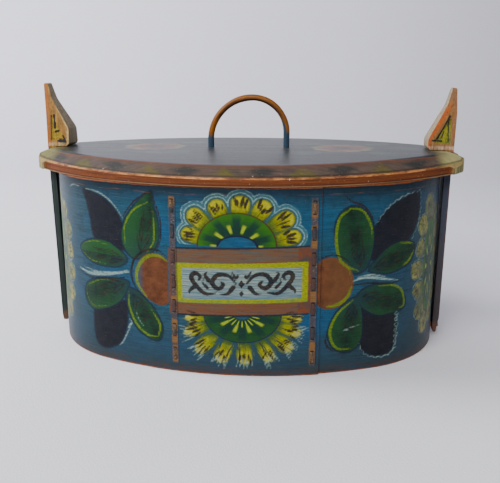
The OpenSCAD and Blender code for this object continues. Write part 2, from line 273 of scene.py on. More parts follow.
# ---------------------------------------------------------------- brush ornament on a flat sheet of mm
def smooth_line(points, closed=False, n=8):
    """A curve through points: on each span a cubic that leaves and meets its ends along the chord of
    the neighbours (Catmull-Rom)."""
    p = np.asarray(points, float)
    if closed:
        p = np.vstack([p[-1], p, p[0], p[1]])
    else:
        p = np.vstack([2 * p[0] - p[1], p, 2 * p[-1] - p[-2]])
    t = np.linspace(0, 1, n, endpoint=False)[None, :, None]
    a, b, c, d = (p[i:len(p) - 3 + i][:, None] for i in range(4))
    line = 0.5 * (2 * b + (c - a) * t + (2 * a - 5 * b + 4 * c - d) * t**2
                  + (3 * b - a - 3 * c + d) * t**3)
    line = line.reshape(-1, 2)
    return np.vstack([line, line[0] if closed else p[-2]])


def to_line(spots, line):
    """Distance from each spot to a line of straight pieces, and how far along it the nearest place is."""
    a, step = line[:-1], np.diff(line, axis=0)
    rel = spots[:, None] - a
    t = np.clip((rel * step).sum(2) / np.maximum((step**2).sum(1), 1e-9), 0, 1)
    d = np.hypot(*np.moveaxis(rel - t[..., None] * step, 2, 0))
    k = d.argmin(1)
    pick = np.arange(len(spots)), k
    return d[pick], (k + t[pick]) / len(a)


def inside(spots, line):
    """True where a spot is inside a closed line: it crosses an odd number of its pieces."""
    a, b = line[:-1], line[1:]
    x, y = spots[:, 0:1], spots[:, 1:2]
    cross = (a[:, 1] > y) != (b[:, 1] > y)
    rise = np.where(b[:, 1] == a[:, 1], 1e-9, b[:, 1] - a[:, 1])
    return ((x < (b[:, 0] - a[:, 0]) * (y - a[:, 1]) / rise + a[:, 0]) & cross).sum(1) % 2 == 1


def near(spots, line, reach):
    """Numbers of the spots in the box round a line, with reach mm to spare."""
    low, high = line.min(0) - reach, line.max(0) + reach
    return np.nonzero(((spots > low) & (spots < high)).all(1))[0]


def patches(spots, shapes):
    """For each spot (distance to the nearest painted shape, below nought inside; share of the way from
    its base to its tip; distance in mm to the left of that line). A shape is (outline, base, tip)."""
    out = np.tile([FAR, 0.0, 0.0], (len(spots), 1))
    for outline, base, tip in shapes:
        line = smooth_line(outline, closed=True)
        i = near(spots, line, 9.0)               # paint ends well within 9 mm
        if not len(i):
            continue
        d, _ = to_line(spots[i], line)
        d = np.where(inside(spots[i], line), -d, d)
        axis = np.subtract(tip, base).astype(float)
        size = np.hypot(*axis)
        rel = spots[i] - np.asarray(base, float)
        u = rel @ axis / size**2
        v = (axis[0] * rel[:, 1] - axis[1] * rel[:, 0]) / size
        better = d < out[i, 0]
        out[i[better]] = np.stack([d, u, v], 1)[better]
    return out


def strokes(spots, marks):
    """Distance to the edge of the nearest brush stroke. A stroke is (points, half-width, taper): its
    half-width swells as the sine of the way along, or with taper 1 falls to nought at its far end."""
    out = np.full(len(spots), FAR)
    for points, width, taper in marks:
        line = smooth_line(points, n=6)
        i = near(spots, line, 5.0 + width)
        if not len(i):
            continue
        d, t = to_line(spots[i], line)
        swell = (1 - t) ** 0.7 if taper else np.sin(np.pi * (0.08 + 0.84 * t)) ** 0.7
        out[i] = np.minimum(out[i], d - width * swell)
    return out


def turned(points, centre, angle):
    """Points laid at a centre, turned by an angle in degrees."""
    c, s = np.cos(np.radians(angle)), np.sin(np.radians(angle))
    return np.asarray(points, float) @ np.array([[c, s], [-s, c]]) + centre


def axes(base, tip):
    """Foot of a leaf or petal, the way from it to the tip, and the unit direction to the left of that."""
    base, tip = np.array(base, float), np.array(tip, float)
    along = tip - base
    return base, along, np.array([-along[1], along[0]]) / np.hypot(*along)


# ---------------------------------------------------------------- the bent side
def oval(s):
    """Point and outward direction on the oval at s mm along it from the front middle: a long arc, a
    round end and half the back arc on each hand."""
    t, hand = np.abs(s), np.where(s < 0, -1.0, 1.0)
    turn = np.where(t < ARC_L, t / LONG_R,
                    np.where(t < ARC_L + END_L, ARC_HALF + (t - ARC_L) / END_R,
                             np.pi - ARC_HALF + (t - ARC_L - END_L) / LONG_R))
    long = (t < ARC_L) | (t > ARC_L + END_L)
    radius = np.where(long, LONG_R, END_R)
    cx = np.where(long, 0.0, END_C)
    cy = np.where(t < ARC_L, LONG_C, np.where(long, -LONG_C, 0.0))
    out = np.stack([np.sin(turn) * hand, -np.cos(turn)], -1)
    return np.stack([(cx + radius * np.sin(turn)) * hand, cy - radius * np.cos(turn)], -1), out


def lap_lift(s, leaf):
    """How far a leaf of the lap stands off the oval: its arc is moved to the right and out. It rises over
    6 mm at the leaf's start and drops within 0.35 mm at its end."""
    right, out, start, end = leaf
    sin = np.sin(s / LONG_R)
    lift = right * sin + out * np.sqrt(1 - sin**2)
    ramp = np.clip((s - arc_s(start)) / 6.0, 0, 1) * np.clip((arc_s(end) - s) / 0.35, 0, 1)
    return np.where(np.abs(s) < ARC_L, lift * ramp, 0.0)


def arc_s(x):
    """Way along the front, in mm from its middle, of the place at x."""
    return LONG_R * np.arcsin(x / LONG_R)


def petal_outline(shape, root, tip, width):
    """A petal shape of unit length and half-width, laid from root to tip and width mm to each side."""
    along = np.subtract(tip, root)
    reach, angle = np.hypot(*along), np.degrees(np.arctan2(along[1], along[0]))
    return turned([(u * reach, v * width) for u, v in shape], root, angle)


def flower_petals():
    """Petals of the upper, the lower and the two end flowers, as (outline, base, tip)."""
    lobe = [(0.56, -0.5), (0.72, -0.82), (0.92, -0.78), (1.0, 0), (0.92, 0.78), (0.72, 0.82), (0.56, 0.5)]
    top = [((-44.5, 127), 7.8), ((-38.0, 145.5), 8.8), ((-16.5, 155.5), 8.8), ((7.0, 159.5), 9.6),
           ((29, 155), 8.8), ((50.5, 143.5), 8.8), ((57, 126), 7.8)]
    bottom = [((-43, 51), 6), ((-44, 37), 6.5), ((-33.5, 20), 7.5), ((-13, 11.5), 8), ((10, 10.5), 8),
              ((33, 13.5), 8), ((51, 23.5), 7.5), ((58.5, 39), 6.5), ((59, 53), 6)]
    fans = []
    for middle, petals in (((3.0, 115.0), top), (LOWER_FLOWER, bottom)):
        c = np.array(middle)
        fans.append([(petal_outline(lobe, c, tip, width), c, tip) for tip, width in petals])

    # end flowers: petals at even steps of arc length round a tall oval
    wide = [(0.1, -0.5), (0.5, -0.9), (0.88, -0.75), (1.0, 0), (0.88, 0.75), (0.5, 0.9), (0.1, 0.5)]
    a = np.linspace(0, 2 * np.pi, 721)
    mid = np.stack([np.cos(a) * 20.0, np.sin(a) * 56.0], 1)
    run = np.concatenate([[0], np.cumsum(np.hypot(*np.diff(mid, axis=0).T))])
    count, ends = 13, []
    for hand in (-1, 1):
        c = np.array([hand * END_FLOWER[0], END_FLOWER[1]])
        for k in range(count):
            turn = np.interp(run[-1] * (k + 0.5) / count, run, a)
            reach_x, reach_z = 29.0 + 3.0 * np.sin(2.3 * k), 68.0 + 2.0 * np.cos(1.7 * k)
            root = c + np.array([np.cos(turn) * 10.0, np.sin(turn) * 42.0])
            tip = c + np.array([np.cos(turn) * reach_x, np.sin(turn) * reach_z])
            ends.append((petal_outline(wide, root, tip, 9.6), root - (tip - root), tip))
    return fans[0], fans[1], ends


# painted shapes, in mm along the side from the front middle and up: (outline, foot, tip)
NAVY_LEAVES = [
    ([(-145, 157), (-130, 155), (-118, 151), (-106, 141), (-99, 128), (-97, 112), (-102, 104), (-118, 106),
      (-133, 114), (-137, 131), (-141, 146)], (-100, 104), (-144, 156)),
    ([(-136, 50), (-120, 56), (-100, 60), (-98, 46), (-100, 34), (-107, 19), (-123, 10), (-136, 14),
      (-139, 30)], (-104, 58), (-122, 10)),
    ([(170, 156), (151, 153), (135, 146), (123, 133), (118, 118), (120, 100), (135, 102), (150, 108),
      (161, 116), (168, 125), (172, 138)], (121, 101), (170, 156)),
    ([(109, 56), (125, 60), (142, 56), (150, 37), (148, 22), (143, 13), (130, 11), (118, 15), (111, 24)],
      (112, 58), (135, 11)),
]
GREEN_LEAVES = [
    ([(-71, 160), (-85, 149), (-98, 132), (-101, 114), (-92, 101), (-80, 102), (-70, 109), (-65, 122),
      (-66, 138), (-69, 148)], (-84, 102), (-70, 158)),
    ([(-152, 103), (-137, 111), (-119, 112), (-104, 105), (-97, 97), (-110, 90), (-131, 90), (-146, 95)],
      (-97, 97), (-152, 102)),
    ([(-149, 60), (-145, 69), (-133, 75), (-118, 78), (-97, 78), (-100, 68), (-107, 58), (-121, 50),
      (-137, 46), (-147, 52)], (-97, 77), (-148, 58)),
    ([(-97, 71), (-99, 58), (-95, 46), (-88, 35), (-78, 29), (-67, 28), (-64, 40), (-71, 55), (-80, 64),
      (-88, 70)], (-95, 70), (-67, 29)),
    ([(86, 129), (89, 141), (98, 148), (109, 146), (119, 133), (121, 115), (116, 96), (106, 90), (96, 96),
      (89, 109)], (111, 91), (99, 148)),
    ([(166, 110), (149, 114), (134, 109), (125, 101), (118, 92), (129, 88), (142, 88), (160, 93),
      (167, 101)], (119, 92), (166, 106)),
    ([(108, 70), (119, 77), (138, 77), (151, 70), (158, 60), (156, 52), (142, 50), (128, 50), (116, 56),
      (110, 63)], (109, 70), (158, 55)),
    ([(104, 68), (92, 59), (84, 46), (82, 34), (89, 22), (102, 19), (112, 28), (113, 48), (110, 62)],
      (105, 66), (98, 20)),
]
FRUITS = [
    ([(-90, 84), (-86, 97), (-77, 105), (-66, 106), (-56, 100), (-51, 86), (-54, 68), (-63, 60),
      (-76, 64), (-86, 73)], (-70, 60), (-70, 107)),
    ([(104, 82), (100, 95), (91, 103), (80, 105), (69, 99), (64, 84), (68, 68), (78, 60), (90, 61),
      (100, 69)], (85, 60), (85, 105)),
]


def pale_marks(lower_petals):
    """Stems, tendrils, curls, scalloped outlines and the tips of the lower flower, in thin pale paint,
    as strokes of (points, half-width, taper)."""
    def scallops(points, n, deep):
        line = smooth_line(points, n=20)
        t = np.linspace(0, 1, len(line))
        normal = np.stack([-np.gradient(line[:, 1]), np.gradient(line[:, 0])], 1)
        normal /= np.linalg.norm(normal, axis=1)[:, None]
        return line + normal * (deep * np.abs(np.sin(np.pi * n * t)))[:, None]

    marks = [
        (((-156, 82), (-140, 79.5), (-118, 82), (-95, 87)), 1.3, 0),
        (((-150, 84.5), (-130, 82.5), (-108, 85), (-96, 88.5)), 0.7, 0),
        (((103, 83), (114, 85.5), (130, 83), (148, 79.5)), 1.1, 0),
        (((108, 86.5), (120, 87.5), (134, 85)), 0.7, 0),
        (((-140, 157), (-124, 155), (-110, 147), (-99, 134)), 0.7, 0),
        (((-149, 158), (-158, 159), (-166, 156)), 0.6, 0),
        (((-97, 43), (-94.5, 40), (-97, 37), (-99, 34)), 0.8, 0),
        (((-96, 36), (-100, 29), (-105, 20), (-109, 16)), 0.6, 0),
        (((-90, 52), (-87, 44), (-82, 38)), 0.5, 0),
        (((97, 40), (104, 41.5), (111, 43)), 0.35, 0),
        (((95, 38.5), (103, 39.5)), 0.25, 0),
    ]
    for _, base, tip in lower_petals[1:-1]:
        base, axis, n = axes(base, tip)
        for across in (-6.5, -4.2, -1.8, 1.4, 4.0, 6.4):
            a = base + axis * (0.84 + 0.10 * rng.rand()) + n * (across * 0.85 + rng.rand())
            b = base + axis * (1.01 + 0.09 * rng.rand()) + n * (across * 1.1 + rng.rand() * 2 - 1)
            bent = (a + b) / 2 + n * (rng.rand() - 0.5)
            marks.append(((a, bent, b), 0.3 + 0.2 * rng.rand(), 0))
    marks.append((scallops([(122, 133), (134, 147), (150, 155), (171, 158)][::-1], 8, 1.6), 0.42, 0))
    marks.append((scallops([(171, 158), (173, 142), (170, 127), (162, 114)], 7, 1.3), 0.38, 0))
    marks.append((scallops([(109, 26), (117, 13.5), (130, 9), (145, 11.5), (151, 27), (151, 48)], 11, 1.5),
                  0.5, 0))
    for k in range(7):                           # little curls up the dark leaf
        z = 50 - 5.2 * k
        marks.append((((149.5, z), (147, z - 1.2), (147.5, z - 3.2), (150.5, z - 3.0)), 0.5, 0))
    return marks


def glow_marks():
    """Light yellow-green rims of the leaves and fruits, one brush stroke each."""
    return [
        (((-73, 151), (-88, 143), (-98, 128), (-98, 111)), 0.8, 0),
        (((-70, 146), (-69, 130), (-70, 116), (-76, 107)), 0.8, 0),
        (((-147, 107), (-133, 110.5), (-117, 109)), 0.45, 0),
        (((-150, 99), (-138, 92.5), (-120, 91)), 0.5, 0),
        (((-147, 66), (-146, 57), (-138, 49), (-122, 51.5)), 0.5, 0),
        (((-144, 68), (-128, 75), (-110, 77)), 0.45, 0),
        (((-96, 69), (-96.5, 56), (-90, 40), (-79, 31), (-69, 30.5)), 1.1, 0),
        (((-68, 31), (-66, 42), (-74, 55)), 1.0, 0),
        (((108, 92), (93, 100), (87, 118), (89, 138), (99, 146.5)), 1.4, 0),
        (((98, 147), (110, 144), (118, 131), (119.5, 119)), 1.0, 0),
        (((148, 113), (158, 112), (165, 110)), 1.0, 0),
        (((167, 104), (161, 96), (153, 92)), 1.1, 0),
        (((128, 76.5), (143, 75.5), (154, 68), (157, 55), (151, 53)), 1.2, 0),
        (((104, 66), (92, 57), (85, 45), (84, 34), (90, 23), (103, 21.5)), 1.3, 0),
        (((-57, 100), (-65, 104.5), (-76, 103), (-85, 94), (-88, 83), (-85, 74), (-78, 66)), 1.6, 0),
        (((102, 79), (98, 69), (89, 63), (80, 62)), 1.5, 0),
        (((102, 85), (98, 95), (90, 101)), 0.6, 0),
    ]


def dark_marks(petal_sets):
    """Veins, petal strokes, outlines and the plain scrolls of the front panel, in near-black paint."""
    marks = []
    for _, base, tip in GREEN_LEAVES:
        b, axis, n = axes(base, tip)
        marks.append(((b + axis * 0.08, b + axis * 0.4 + n, b + axis * 0.72), 0.6, 1))
        for k in range(4):
            at = b + axis * (0.10 + 0.15 * k)
            for side in (-1, 1):
                start = at + n * side * (1.2 + 0.3 * k)
                out = at + axis * (0.27 - 0.02 * k) + n * side * (6.6 - 0.9 * k)
                marks.append(((start, (start + out) / 2 + n * side * 0.8, out), 0.7, k % 2))
    for petals, wide in zip(petal_sets, (1.15, 0.95, 0.6)):
        for _, c, tip in petals:
            c, axis, n = axes(c, tip)
            for k in range(4):
                u0 = 0.70 + 0.10 * rng.rand()
                a = c + axis * u0 + n * (k - 1.5) * 2.4
                b = a + axis * (0.12 + 0.12 * rng.rand()) + n * ((k - 1.5) * 1.3 + 2 * rng.rand() - 1)
                bent = (a + b) / 2 + n * (rng.rand() - 0.5)
                marks.append(((a, bent, b), wide * (0.7 + 0.7 * rng.rand()), 0))
    marks += [
        (((92, 160), (99, 153), (110, 148.5), (118, 139), (122.5, 128)), 1.0, 0),
        (((-71, 162), (-67, 150), (-63, 136), (-63, 120), (-68, 107)), 0.8, 0),
        (((-72, 160), (-88, 150), (-101, 134)), 0.8, 0),
        (((-156, 79), (-140, 76), (-118, 78), (-96, 82)), 0.9, 0),
        (((103, 79.5), (120, 80), (138, 77.5), (156, 79.5)), 0.9, 0),
        (((-57, 104), (-68, 110), (-80, 107), (-90, 98), (-93, 84), (-88, 72), (-78, 63)), 1.1, 0),
        (((104, 94), (96, 103), (84, 107.5), (71, 104)), 0.8, 0),
        (((88, 20), (81, 26), (79, 36)), 1.0, 0),
    ]
    # plain scrolls of the panel, the same to both hands
    for hand in (-1, 1):
        def at(*points):
            return [(7 + hand * x, 83.6 + y + hand * 0.03 * x) for x, y in points]
        marks += [
            (at((4, 0), (11, 7.5), (20, 8), (25, 1.5), (20, -4), (15, -0.5), (18, 2.5)), 2.1, 0),
            (at((22, -8), (31, -8.5), (38, -2.5), (43, 5), (40, 9.5), (35, 6.5), (37, 3)), 2.1, 0),
            (at((7, -3), (12, -8.5), (19, -9)), 2.2, 1),
            (at((28, 3), (31, 8.5), (28, 11)), 2.0, 1),
            (at((29, -3.5), (33, 1), (32.5, 5)), 1.5, 1),
            (at((41, -3), (45, -7), (44.5, -10)), 1.9, 1),
            (at((2, 9), (4.5, 5.5), (8, 11)), 1.3, 0),
        ]
    marks.append((((5.6, 83.5), (8.4, 83.7)), 3.8, 0))
    marks.append((((7, 77), (7, 73.5)), 1.9, 0))
    return marks


def side_rows():
    """Rows round the section of the wall, up the outer face, over the rim, down the inner face and back
    under, each as (share of the way from the outer to the inner face, inset in mm, z)."""
    r, rim = 0.8, SIDE_H - 0.1
    bend = np.radians([-90, -60, -30, 0])
    rows = [(0.0, r - r * np.cos(a), r + r * np.sin(a)) for a in bend[:-1]]
    rows += [(0.0, 0.0, z) for z in np.linspace(r, rim - r, 122)]
    rows += [(0.0, r - r * np.cos(a), rim - r - r * np.sin(a)) for a in bend[-2::-1]]
    rows += [(1.0, r * np.cos(a) - r, rim - r - r * np.sin(a)) for a in bend[:-1]]
    rows += [(1.0, 0.0, z) for z in np.linspace(rim - r, r, 16)]
    rows += [(1.0, r * np.cos(a) - r, r + r * np.sin(a)) for a in bend[-2::-1]]
    return np.array(rows)


def painted_side():
    """The bent side as one closed skin: columns run round the oval, rows round the section of the wall.
    Columns stand 1.55 mm apart in front, closer at both ends of the lap, and wider at the back."""
    start_s, lap_s = arc_s(OUTER_LEAF[2]), arc_s(OUTER_LEAF[3])
    front = np.arange(-258.0, 258.1, 1.55)
    back = np.linspace(259.5, ROUND - 259.5, 160)
    extra = np.concatenate([lap_s + np.array([-0.5, -0.34, -0.26, -0.16, -0.06, 0.02, 0.3]),
                            start_s + np.array([-0.1, 0.1, 0.3, 0.5, 0.8])])
    front = front[np.abs(front[:, None] - extra).min(1) > 0.25]
    s_long = np.concatenate([np.sort(np.concatenate([front, extra])), back])
    s = np.where(s_long > ROUND / 2, s_long - ROUND, s_long)
    place, out = oval(s)
    outer = SKIN + lap_lift(s, OUTER_LEAF)
    inner = -WALL - SKIN + lap_lift(s, INNER_LEAF)

    rows = side_rows()
    lift = np.where(rows[:, :1] < 0.5, outer - rows[:, 1:2], inner - rows[:, 1:2])
    xy = place[None] + out[None] * lift[..., None]
    z = np.broadcast_to(rows[:, 2:3], lift.shape)
    points = np.concatenate([xy, z[..., None]], -1).reshape(-1, 3)
    piece = make_piece("painted_side", points, close_grid(*lift.shape), "box", "side_band",
                       painted_side_finish())

    spots = np.stack([np.broadcast_to(s, lift.shape).ravel(), z.ravel()], 1)
    face = np.broadcast_to(rows[:, :1], lift.shape).ravel()
    # behind the middle of each end the place along the side runs back to nought, so it joins at the back
    far, half, end = np.abs(spots[:, 0]), ROUND / 2, ARC_L + END_L / 2
    behind = np.maximum(far - end, 0)
    folded = np.sign(spots[:, 0]) * (np.minimum(far, end) - behind * end / (half - end))
    carry(piece, "strip", np.stack([folded, spots[:, 1], face], 1))
    carry_flowers(piece, spots, np.nonzero((face < 0.5) & (far < PAINTED))[0])
    lay_strip(piece, s_long, rows)


def carry_flowers(piece, spots, on):
    """Writes where the painted shapes and brush strokes lie, at the vertices listed in on."""
    sheet = spots[on]
    top, bottom, ends = flower_petals()
    carry_on(piece, "navy", on, patches(sheet, NAVY_LEAVES))
    carry_on(piece, "leaf", on, patches(sheet, GREEN_LEAVES))
    carry_on(piece, "fruit", on, patches(sheet, FRUITS))
    carry_on(piece, "petal", on, patches(sheet, top + bottom + ends))
    carry_on(piece, "marks", on, np.stack([strokes(sheet, dark_marks((top, bottom, ends))),
                                           strokes(sheet, glow_marks()),
                                           strokes(sheet, pale_marks(bottom))], 1), (FAR, FAR, FAR))
    # discs of the flowers: (distance to the rim, turn, share of the radius)
    along, z = sheet.T
    up = z > 86
    centre = np.where(up[:, None], UPPER_FLOWER, LOWER_FLOWER)
    size = np.where(up[:, None], (32.5, 28.0), (32.5, 25.5))
    rel = (sheet - centre) / size
    share = np.hypot(rel[:, 0], rel[:, 1])
    cut = np.where(up, z - UPPER_FLOWER[1], LOWER_FLOWER[1] - z)
    at_end = np.abs(along) > 150
    rel_end = (np.abs(sheet) - END_FLOWER) / (12.0, 44.0)
    rel[at_end], share[at_end] = rel_end[at_end], np.hypot(*rel_end[at_end].T)
    size = np.where(at_end[:, None], (12.0, 24.0), size)
    dist = np.maximum((share - 1) * size.mean(1), np.where(at_end, -99.0, -cut))
    turn = np.arctan2(np.abs(rel[:, 1]), rel[:, 0])
    carry_on(piece, "disc", on, np.stack([dist, turn, share], 1), (FAR, 0, 2))


def lay_strip(piece, s_long, rows):
    """Flat layout of the side, 512 mm to the width: the front half of the outer face in the lowest band,
    its back half above, the inner face at half size above that."""
    page, quarter, margin = 512.0, 249.3, 3
    r, c = np.meshgrid(np.arange(len(rows)), np.arange(len(s_long)), indexing="ij")
    r, c = r.reshape(-1), c.reshape(-1)
    s_here, s_next = s_long[c], np.append(s_long, s_long[0] + ROUND)[c + 1]
    s_mid = 0.5 * (s_here + s_next)[:, None]
    corners_s = np.stack([s_here, s_next, s_next, s_here], 1)
    run = np.concatenate([[0], np.cumsum(np.hypot(np.diff(rows[:, 1]), np.diff(rows[:, 2])))])
    turn = np.nonzero(rows[:, 0] > 0.5)[0][0]
    run[turn:] += 2.0
    run = np.append(run, run[-1] + 2.0)
    corners_v = np.stack([run[r], run[r], run[r + 1], run[r + 1]], 1)
    is_inner = (r >= turn - 1)[:, None]
    is_back = (s_mid > quarter) & (s_mid < ROUND - quarter)
    s_front = np.where(s_mid > ROUND - quarter, corners_s - ROUND, corners_s)
    u = np.where(is_inner, corners_s / (2 * page) + 0.26, np.where(
        is_back, (corners_s - quarter + margin) / page, (s_front + quarter + margin) / page))
    v = np.where(is_inner, 0.70 + (corners_v - run[turn - 1]) / (2 * page),
                 np.where(is_back, 0.35, 0.008) + corners_v / page)
    layer = piece.data.uv_layers.new(name="OFBake")
    layer.uv.foreach_set("vector", np.stack([u, v], -1).astype(np.float32).ravel())


def side_noises(f):
    """The places and noises that the coats of the side share: along and up the side in mm, face 0 outside
    and 1 inside."""
    n = SimpleNamespace()
    n.s, n.z, n.face = s, z, face = f.field("strip")
    n.streak = f.noise(s * 0.03, z * 1.05, face * 40, detail=5, rough=0.7)
    n.fine = f.noise(s * 0.35, z * 1.6, 3, detail=3, rough=0.6)
    n.cloud = f.noise(s * 0.022, z * 0.03, 7, detail=3)
    n.blot = f.noise(s * 0.11, z * 0.13, 11, detail=4, rough=0.6)
    n.wob = (f.noise(s * 0.5, z * 0.5, 17, detail=3) - 0.5) * 1.8 + (n.streak - 0.5) * 0.9
    n.grain = f.noise(s * 0.012, z * 2.6, 23, detail=4, rough=0.7)
    n.dirt = f.noise(s * 0.05, z * 0.35, 29, detail=5, rough=0.7)
    n.edge_wear = (n.blot - 0.5) * 3.0 + (n.fine - 0.5) * 2.0
    n.at_end = abs(s) > 150.0                    # the end flowers
    n.low = (z < 57.0) * (1.0 - n.at_end)        # the lower half flower
    return n


def blue_ground(f, n):
    """Middle blue, brighter near the middle, deep teal to the ends as painted shade where the side turns away
    from the light, deep teal to the foot, darker under the lid with dirt and painted shadow.
    """
    s, z, streak, blot = n.s, n.z, n.streak, n.blot
    # painted shade: side is 1 at the ends, where the blue turns deep teal as the side turns away from the
    # light
    side = abs(s).rise(84.0, 190.0)
    dab = f.noise(s * 0.09, z * 0.22, 91, detail=5, rough=0.75, swirl=0.6)
    return f.coats(
        f.mix(streak.steep(2.6, 0.8), tint(17, 42, 54), tint(38, 80, 98)),
        (side * 0.7, f.mix(streak.steep(2.4, 0.7), tint(19, 33, 42), tint(38, 61, 70))),
        (n.cloud.steep(3.0, 1.25) * 0.6 * (1.0 - side * 0.7), tint(12, 74, 116)),
        (blot.steep(4.0, 2.0) * 0.55, tint(16, 38, 50)),
        (dab.steep(5.0, 2.7) * 0.5, tint(10, 26, 40)),
        (dab.steep(-3.2, -1.05) * 0.35, tint(52, 92, 112)),
        ((z + n.edge_wear * 6.0).rise(58.0, 8.0) * 0.65, tint(36, 46, 50)),
        # dirt and painted shadow of the lid: darker just under the lid
        ((z + n.edge_wear).rise(146.0, 162.0) * 0.65, tint(16, 28, 36)),
        (n.dirt.steep(5.0, 3.1) * 0.4, tint(74, 84, 84)))


def lay_leaves(f, n, colour):
    """Dark leaves, then green ones: dark down the middle, lighter to the rims, with a thin outline."""
    s, z, streak, blot, wob = n.s, n.z, n.streak, n.blot, n.wob
    d = f.field("navy")[0]
    navy = f.coats(f.mix(blot.steep(2.2, 0.7), tint(14, 15, 22), tint(27, 26, 33)),
                   (streak.steep(4.0, 2.3) * 0.4, tint(30, 44, 60)))
    colour = f.mix((d + wob).within(2.4) * 0.96, colour, navy)

    d, u, v = f.field("leaf")
    shade = (abs(v) / 16.0 + 0.15 + (streak - 0.5) * 1.6 + (blot - 0.5) * 1.4).clip()
    upper_left = (s + 84.0 + abs(z - 130.0) * 0.2).within(36.0) * (z > 100.0)
    green = f.coats(f.mix(shade, tint(11, 30, 24), tint(24, 60, 32)),
                    (u.rise(0.45, 0.0) * 0.65, tint(26, 52, 58)),
                    (blot.steep(2.6, 1.2) * 0.5, tint(18, 58, 42)),
                    (upper_left * 0.55, tint(24, 74, 26)))
    return f.coats(colour, ((d - 1.5 + wob).within(1.2) * 0.85, tint(18, 26, 40)),
                   ((d + wob).within(0.9), green))


def lay_fruits(f, n, colour):
    """Red-brown fruits, cut off at the seams."""
    s, wob = n.s, n.wob
    d = f.field("fruit")[0]
    keep = (s < -57.0) + (s > 70.5)
    red = f.coats(f.mix(n.blot.steep(3.0, 1.0), tint(70, 38, 20), tint(98, 58, 32)),
                  (s.rise(72.0, 88.0) * 0.6, tint(92, 62, 36)),
                  ((s + 82.5 + wob).within(5.0) * (s < 0.0) * 0.8, tint(44, 62, 78)),
                  (n.streak.steep(4.0, 2.5) * 0.4, tint(70, 60, 54)))
    return f.mix((d + wob).within(1.0) * keep, colour, red)


def lay_petals(f, n, colour):
    """Yellow petals, greener at the root, rubbed at the ends of the box, with thin white lines outside."""
    s, z, fine, blot, wob, at_end, low = n.s, n.z, n.fine, n.blot, n.wob, n.at_end, n.low
    d, u, v = f.field("petal")
    hair = f.noise(v * 0.55, u * 2.2, s * 0.03, detail=4, rough=0.75)
    smear = f.noise(s * 0.16, z * 0.12, 83, detail=5, rough=0.75)
    gone = (blot * 3.6 - 1.3 + (fine - 0.5)).clip()
    sunny = (u.rise(0.58, 0.86) * 0.8 + (hair - 0.5) * 1.8 + (fine - 0.4)).clip()
    root = ((d + wob * 0.7).rise(-2.0, -0.1) + u.rise(0.72, 0.55)).clip()
    yellow = f.coats(f.mix(sunny, tint(56, 82, 6), tint(158, 152, 4)),
                     (blot.steep(3.4, 1.75) * 0.7, tint(184, 178, 30)),
                     (hair.steep(7.0, 3.5) * u.rise(1.02, 0.8) * 0.85, tint(44, 44, 12)),
                     (root * 0.75, tint(40, 66, 30)),
                     (low * (u + hair * 0.9).rise(1.26, 1.5) * 0.3, tint(146, 156, 132)),
                     (low * hair.steep(8.0, 4.2) * 0.9, tint(22, 44, 40)),
                     (at_end * gone * 0.6, tint(172, 168, 118)),
                     (at_end * smear.steep(6.0, 2.7) * 0.9, tint(50, 44, 28)),
                     (at_end * n.cloud.steep(5.0, 2.2) * 0.7, tint(70, 78, 50)))
    ragged = d + (hair - 0.5) * (3.0 + low * 11.0) + low * 0.3 + at_end * ((smear - 0.5) * 16.0 + 0.6)

    upper = (z > 116.5) * (1.0 - at_end)
    lines = f.noise(s * 0.05, z * 0.05, 43, detail=2) * 2.0 - 1.0
    near_line = (abs(d - 1.9 + wob * 0.9 + lines) - 0.4).within(0.7)
    far_line = (abs(d - 4.4 + wob * 1.2 + lines * 2.4) - 0.3).within(0.7) * blot.steep(5.0, 1.7)
    ring = near_line.high(far_line) * fine.steep(4.0, 1.3) * 0.8 * upper
    loops = (abs(d - 0.4 + wob * 0.5) - 0.5).within(0.7) * at_end * smear.steep(7.0, 3.2)
    return f.coats(colour,
                   ((abs(d - 2.6) - 2.2).within(2.0) * upper * 0.4, tint(66, 112, 112)),
                   (ring * 0.9, tint(140, 170, 164)),
                   ((d - 0.9 + wob).within(1.4) * 0.7, tint(34, 60, 58)),
                   ((ragged + wob).within(0.9) * (1.0 - at_end * 0.3), yellow),
                   (loops * 0.6, tint(136, 156, 150)))


def lay_discs(f, n, colour, blue):
    """Discs of the flowers: light rim, dark rays and dashes, and a heart of bare blue in the half ones."""
    s, z, fine, wob, low = n.s, n.z, n.fine, n.wob, n.low
    d, turn, share = f.field("disc")
    ray = (turn * 10.0 + 3.14159).cos()
    rub = (n.streak - 0.5) * 1.4 + (n.blot - 0.5) * 1.2
    dash = (-ray).rise(0.45, 0.95) * (abs(share - 0.55 + wob * 0.02) - 0.12).within(0.08)
    short_dash = (turn * 20.0).cos().rise(0.3, 0.9) * (abs(share - 0.36 + wob * 0.03) - 0.10).within(0.08)
    up = (z - UPPER_FLOWER[1]).high(0.0) / 8.6
    core = ((s - 3.6) * (s - 3.6) / 250.0 + up * up).root()
    disc = f.coats(f.mix((share.rise(0.55, 0.95) + rub * 0.6).clip(), tint(8, 46, 28), tint(38, 90, 8)),
                   (low * 0.8, f.mix((rub + 0.5).clip(), tint(11, 38, 26), tint(22, 62, 32))),
                   ((ray * 1.6 + rub).clip() * share.rise(1.02, 0.8) * 0.85, tint(11, 42, 36)),
                   (dash.high(low * short_dash) * (0.5 + fine * 0.8).clip(), tint(136, 156, 20)),
                   ((core - 1.0 + wob * 0.03).within(0.1) * (1.0 - low), blue),
                   ((abs(core - 1.05) - 0.07 + wob * 0.03).within(0.06) * (1.0 - low), tint(14, 22, 44)),
                   (share.rise(0.24, 0.16) * low, blue))
    outline = (abs(share - 1.02) - 0.016 + wob * 0.01).within(0.03) * (d < 2.5)
    return f.coats(colour, ((d - 0.2 + wob * 0.4).within(0.9), disc),
                   (outline, f.mix(low, tint(56, 32, 10), tint(18, 28, 46))))


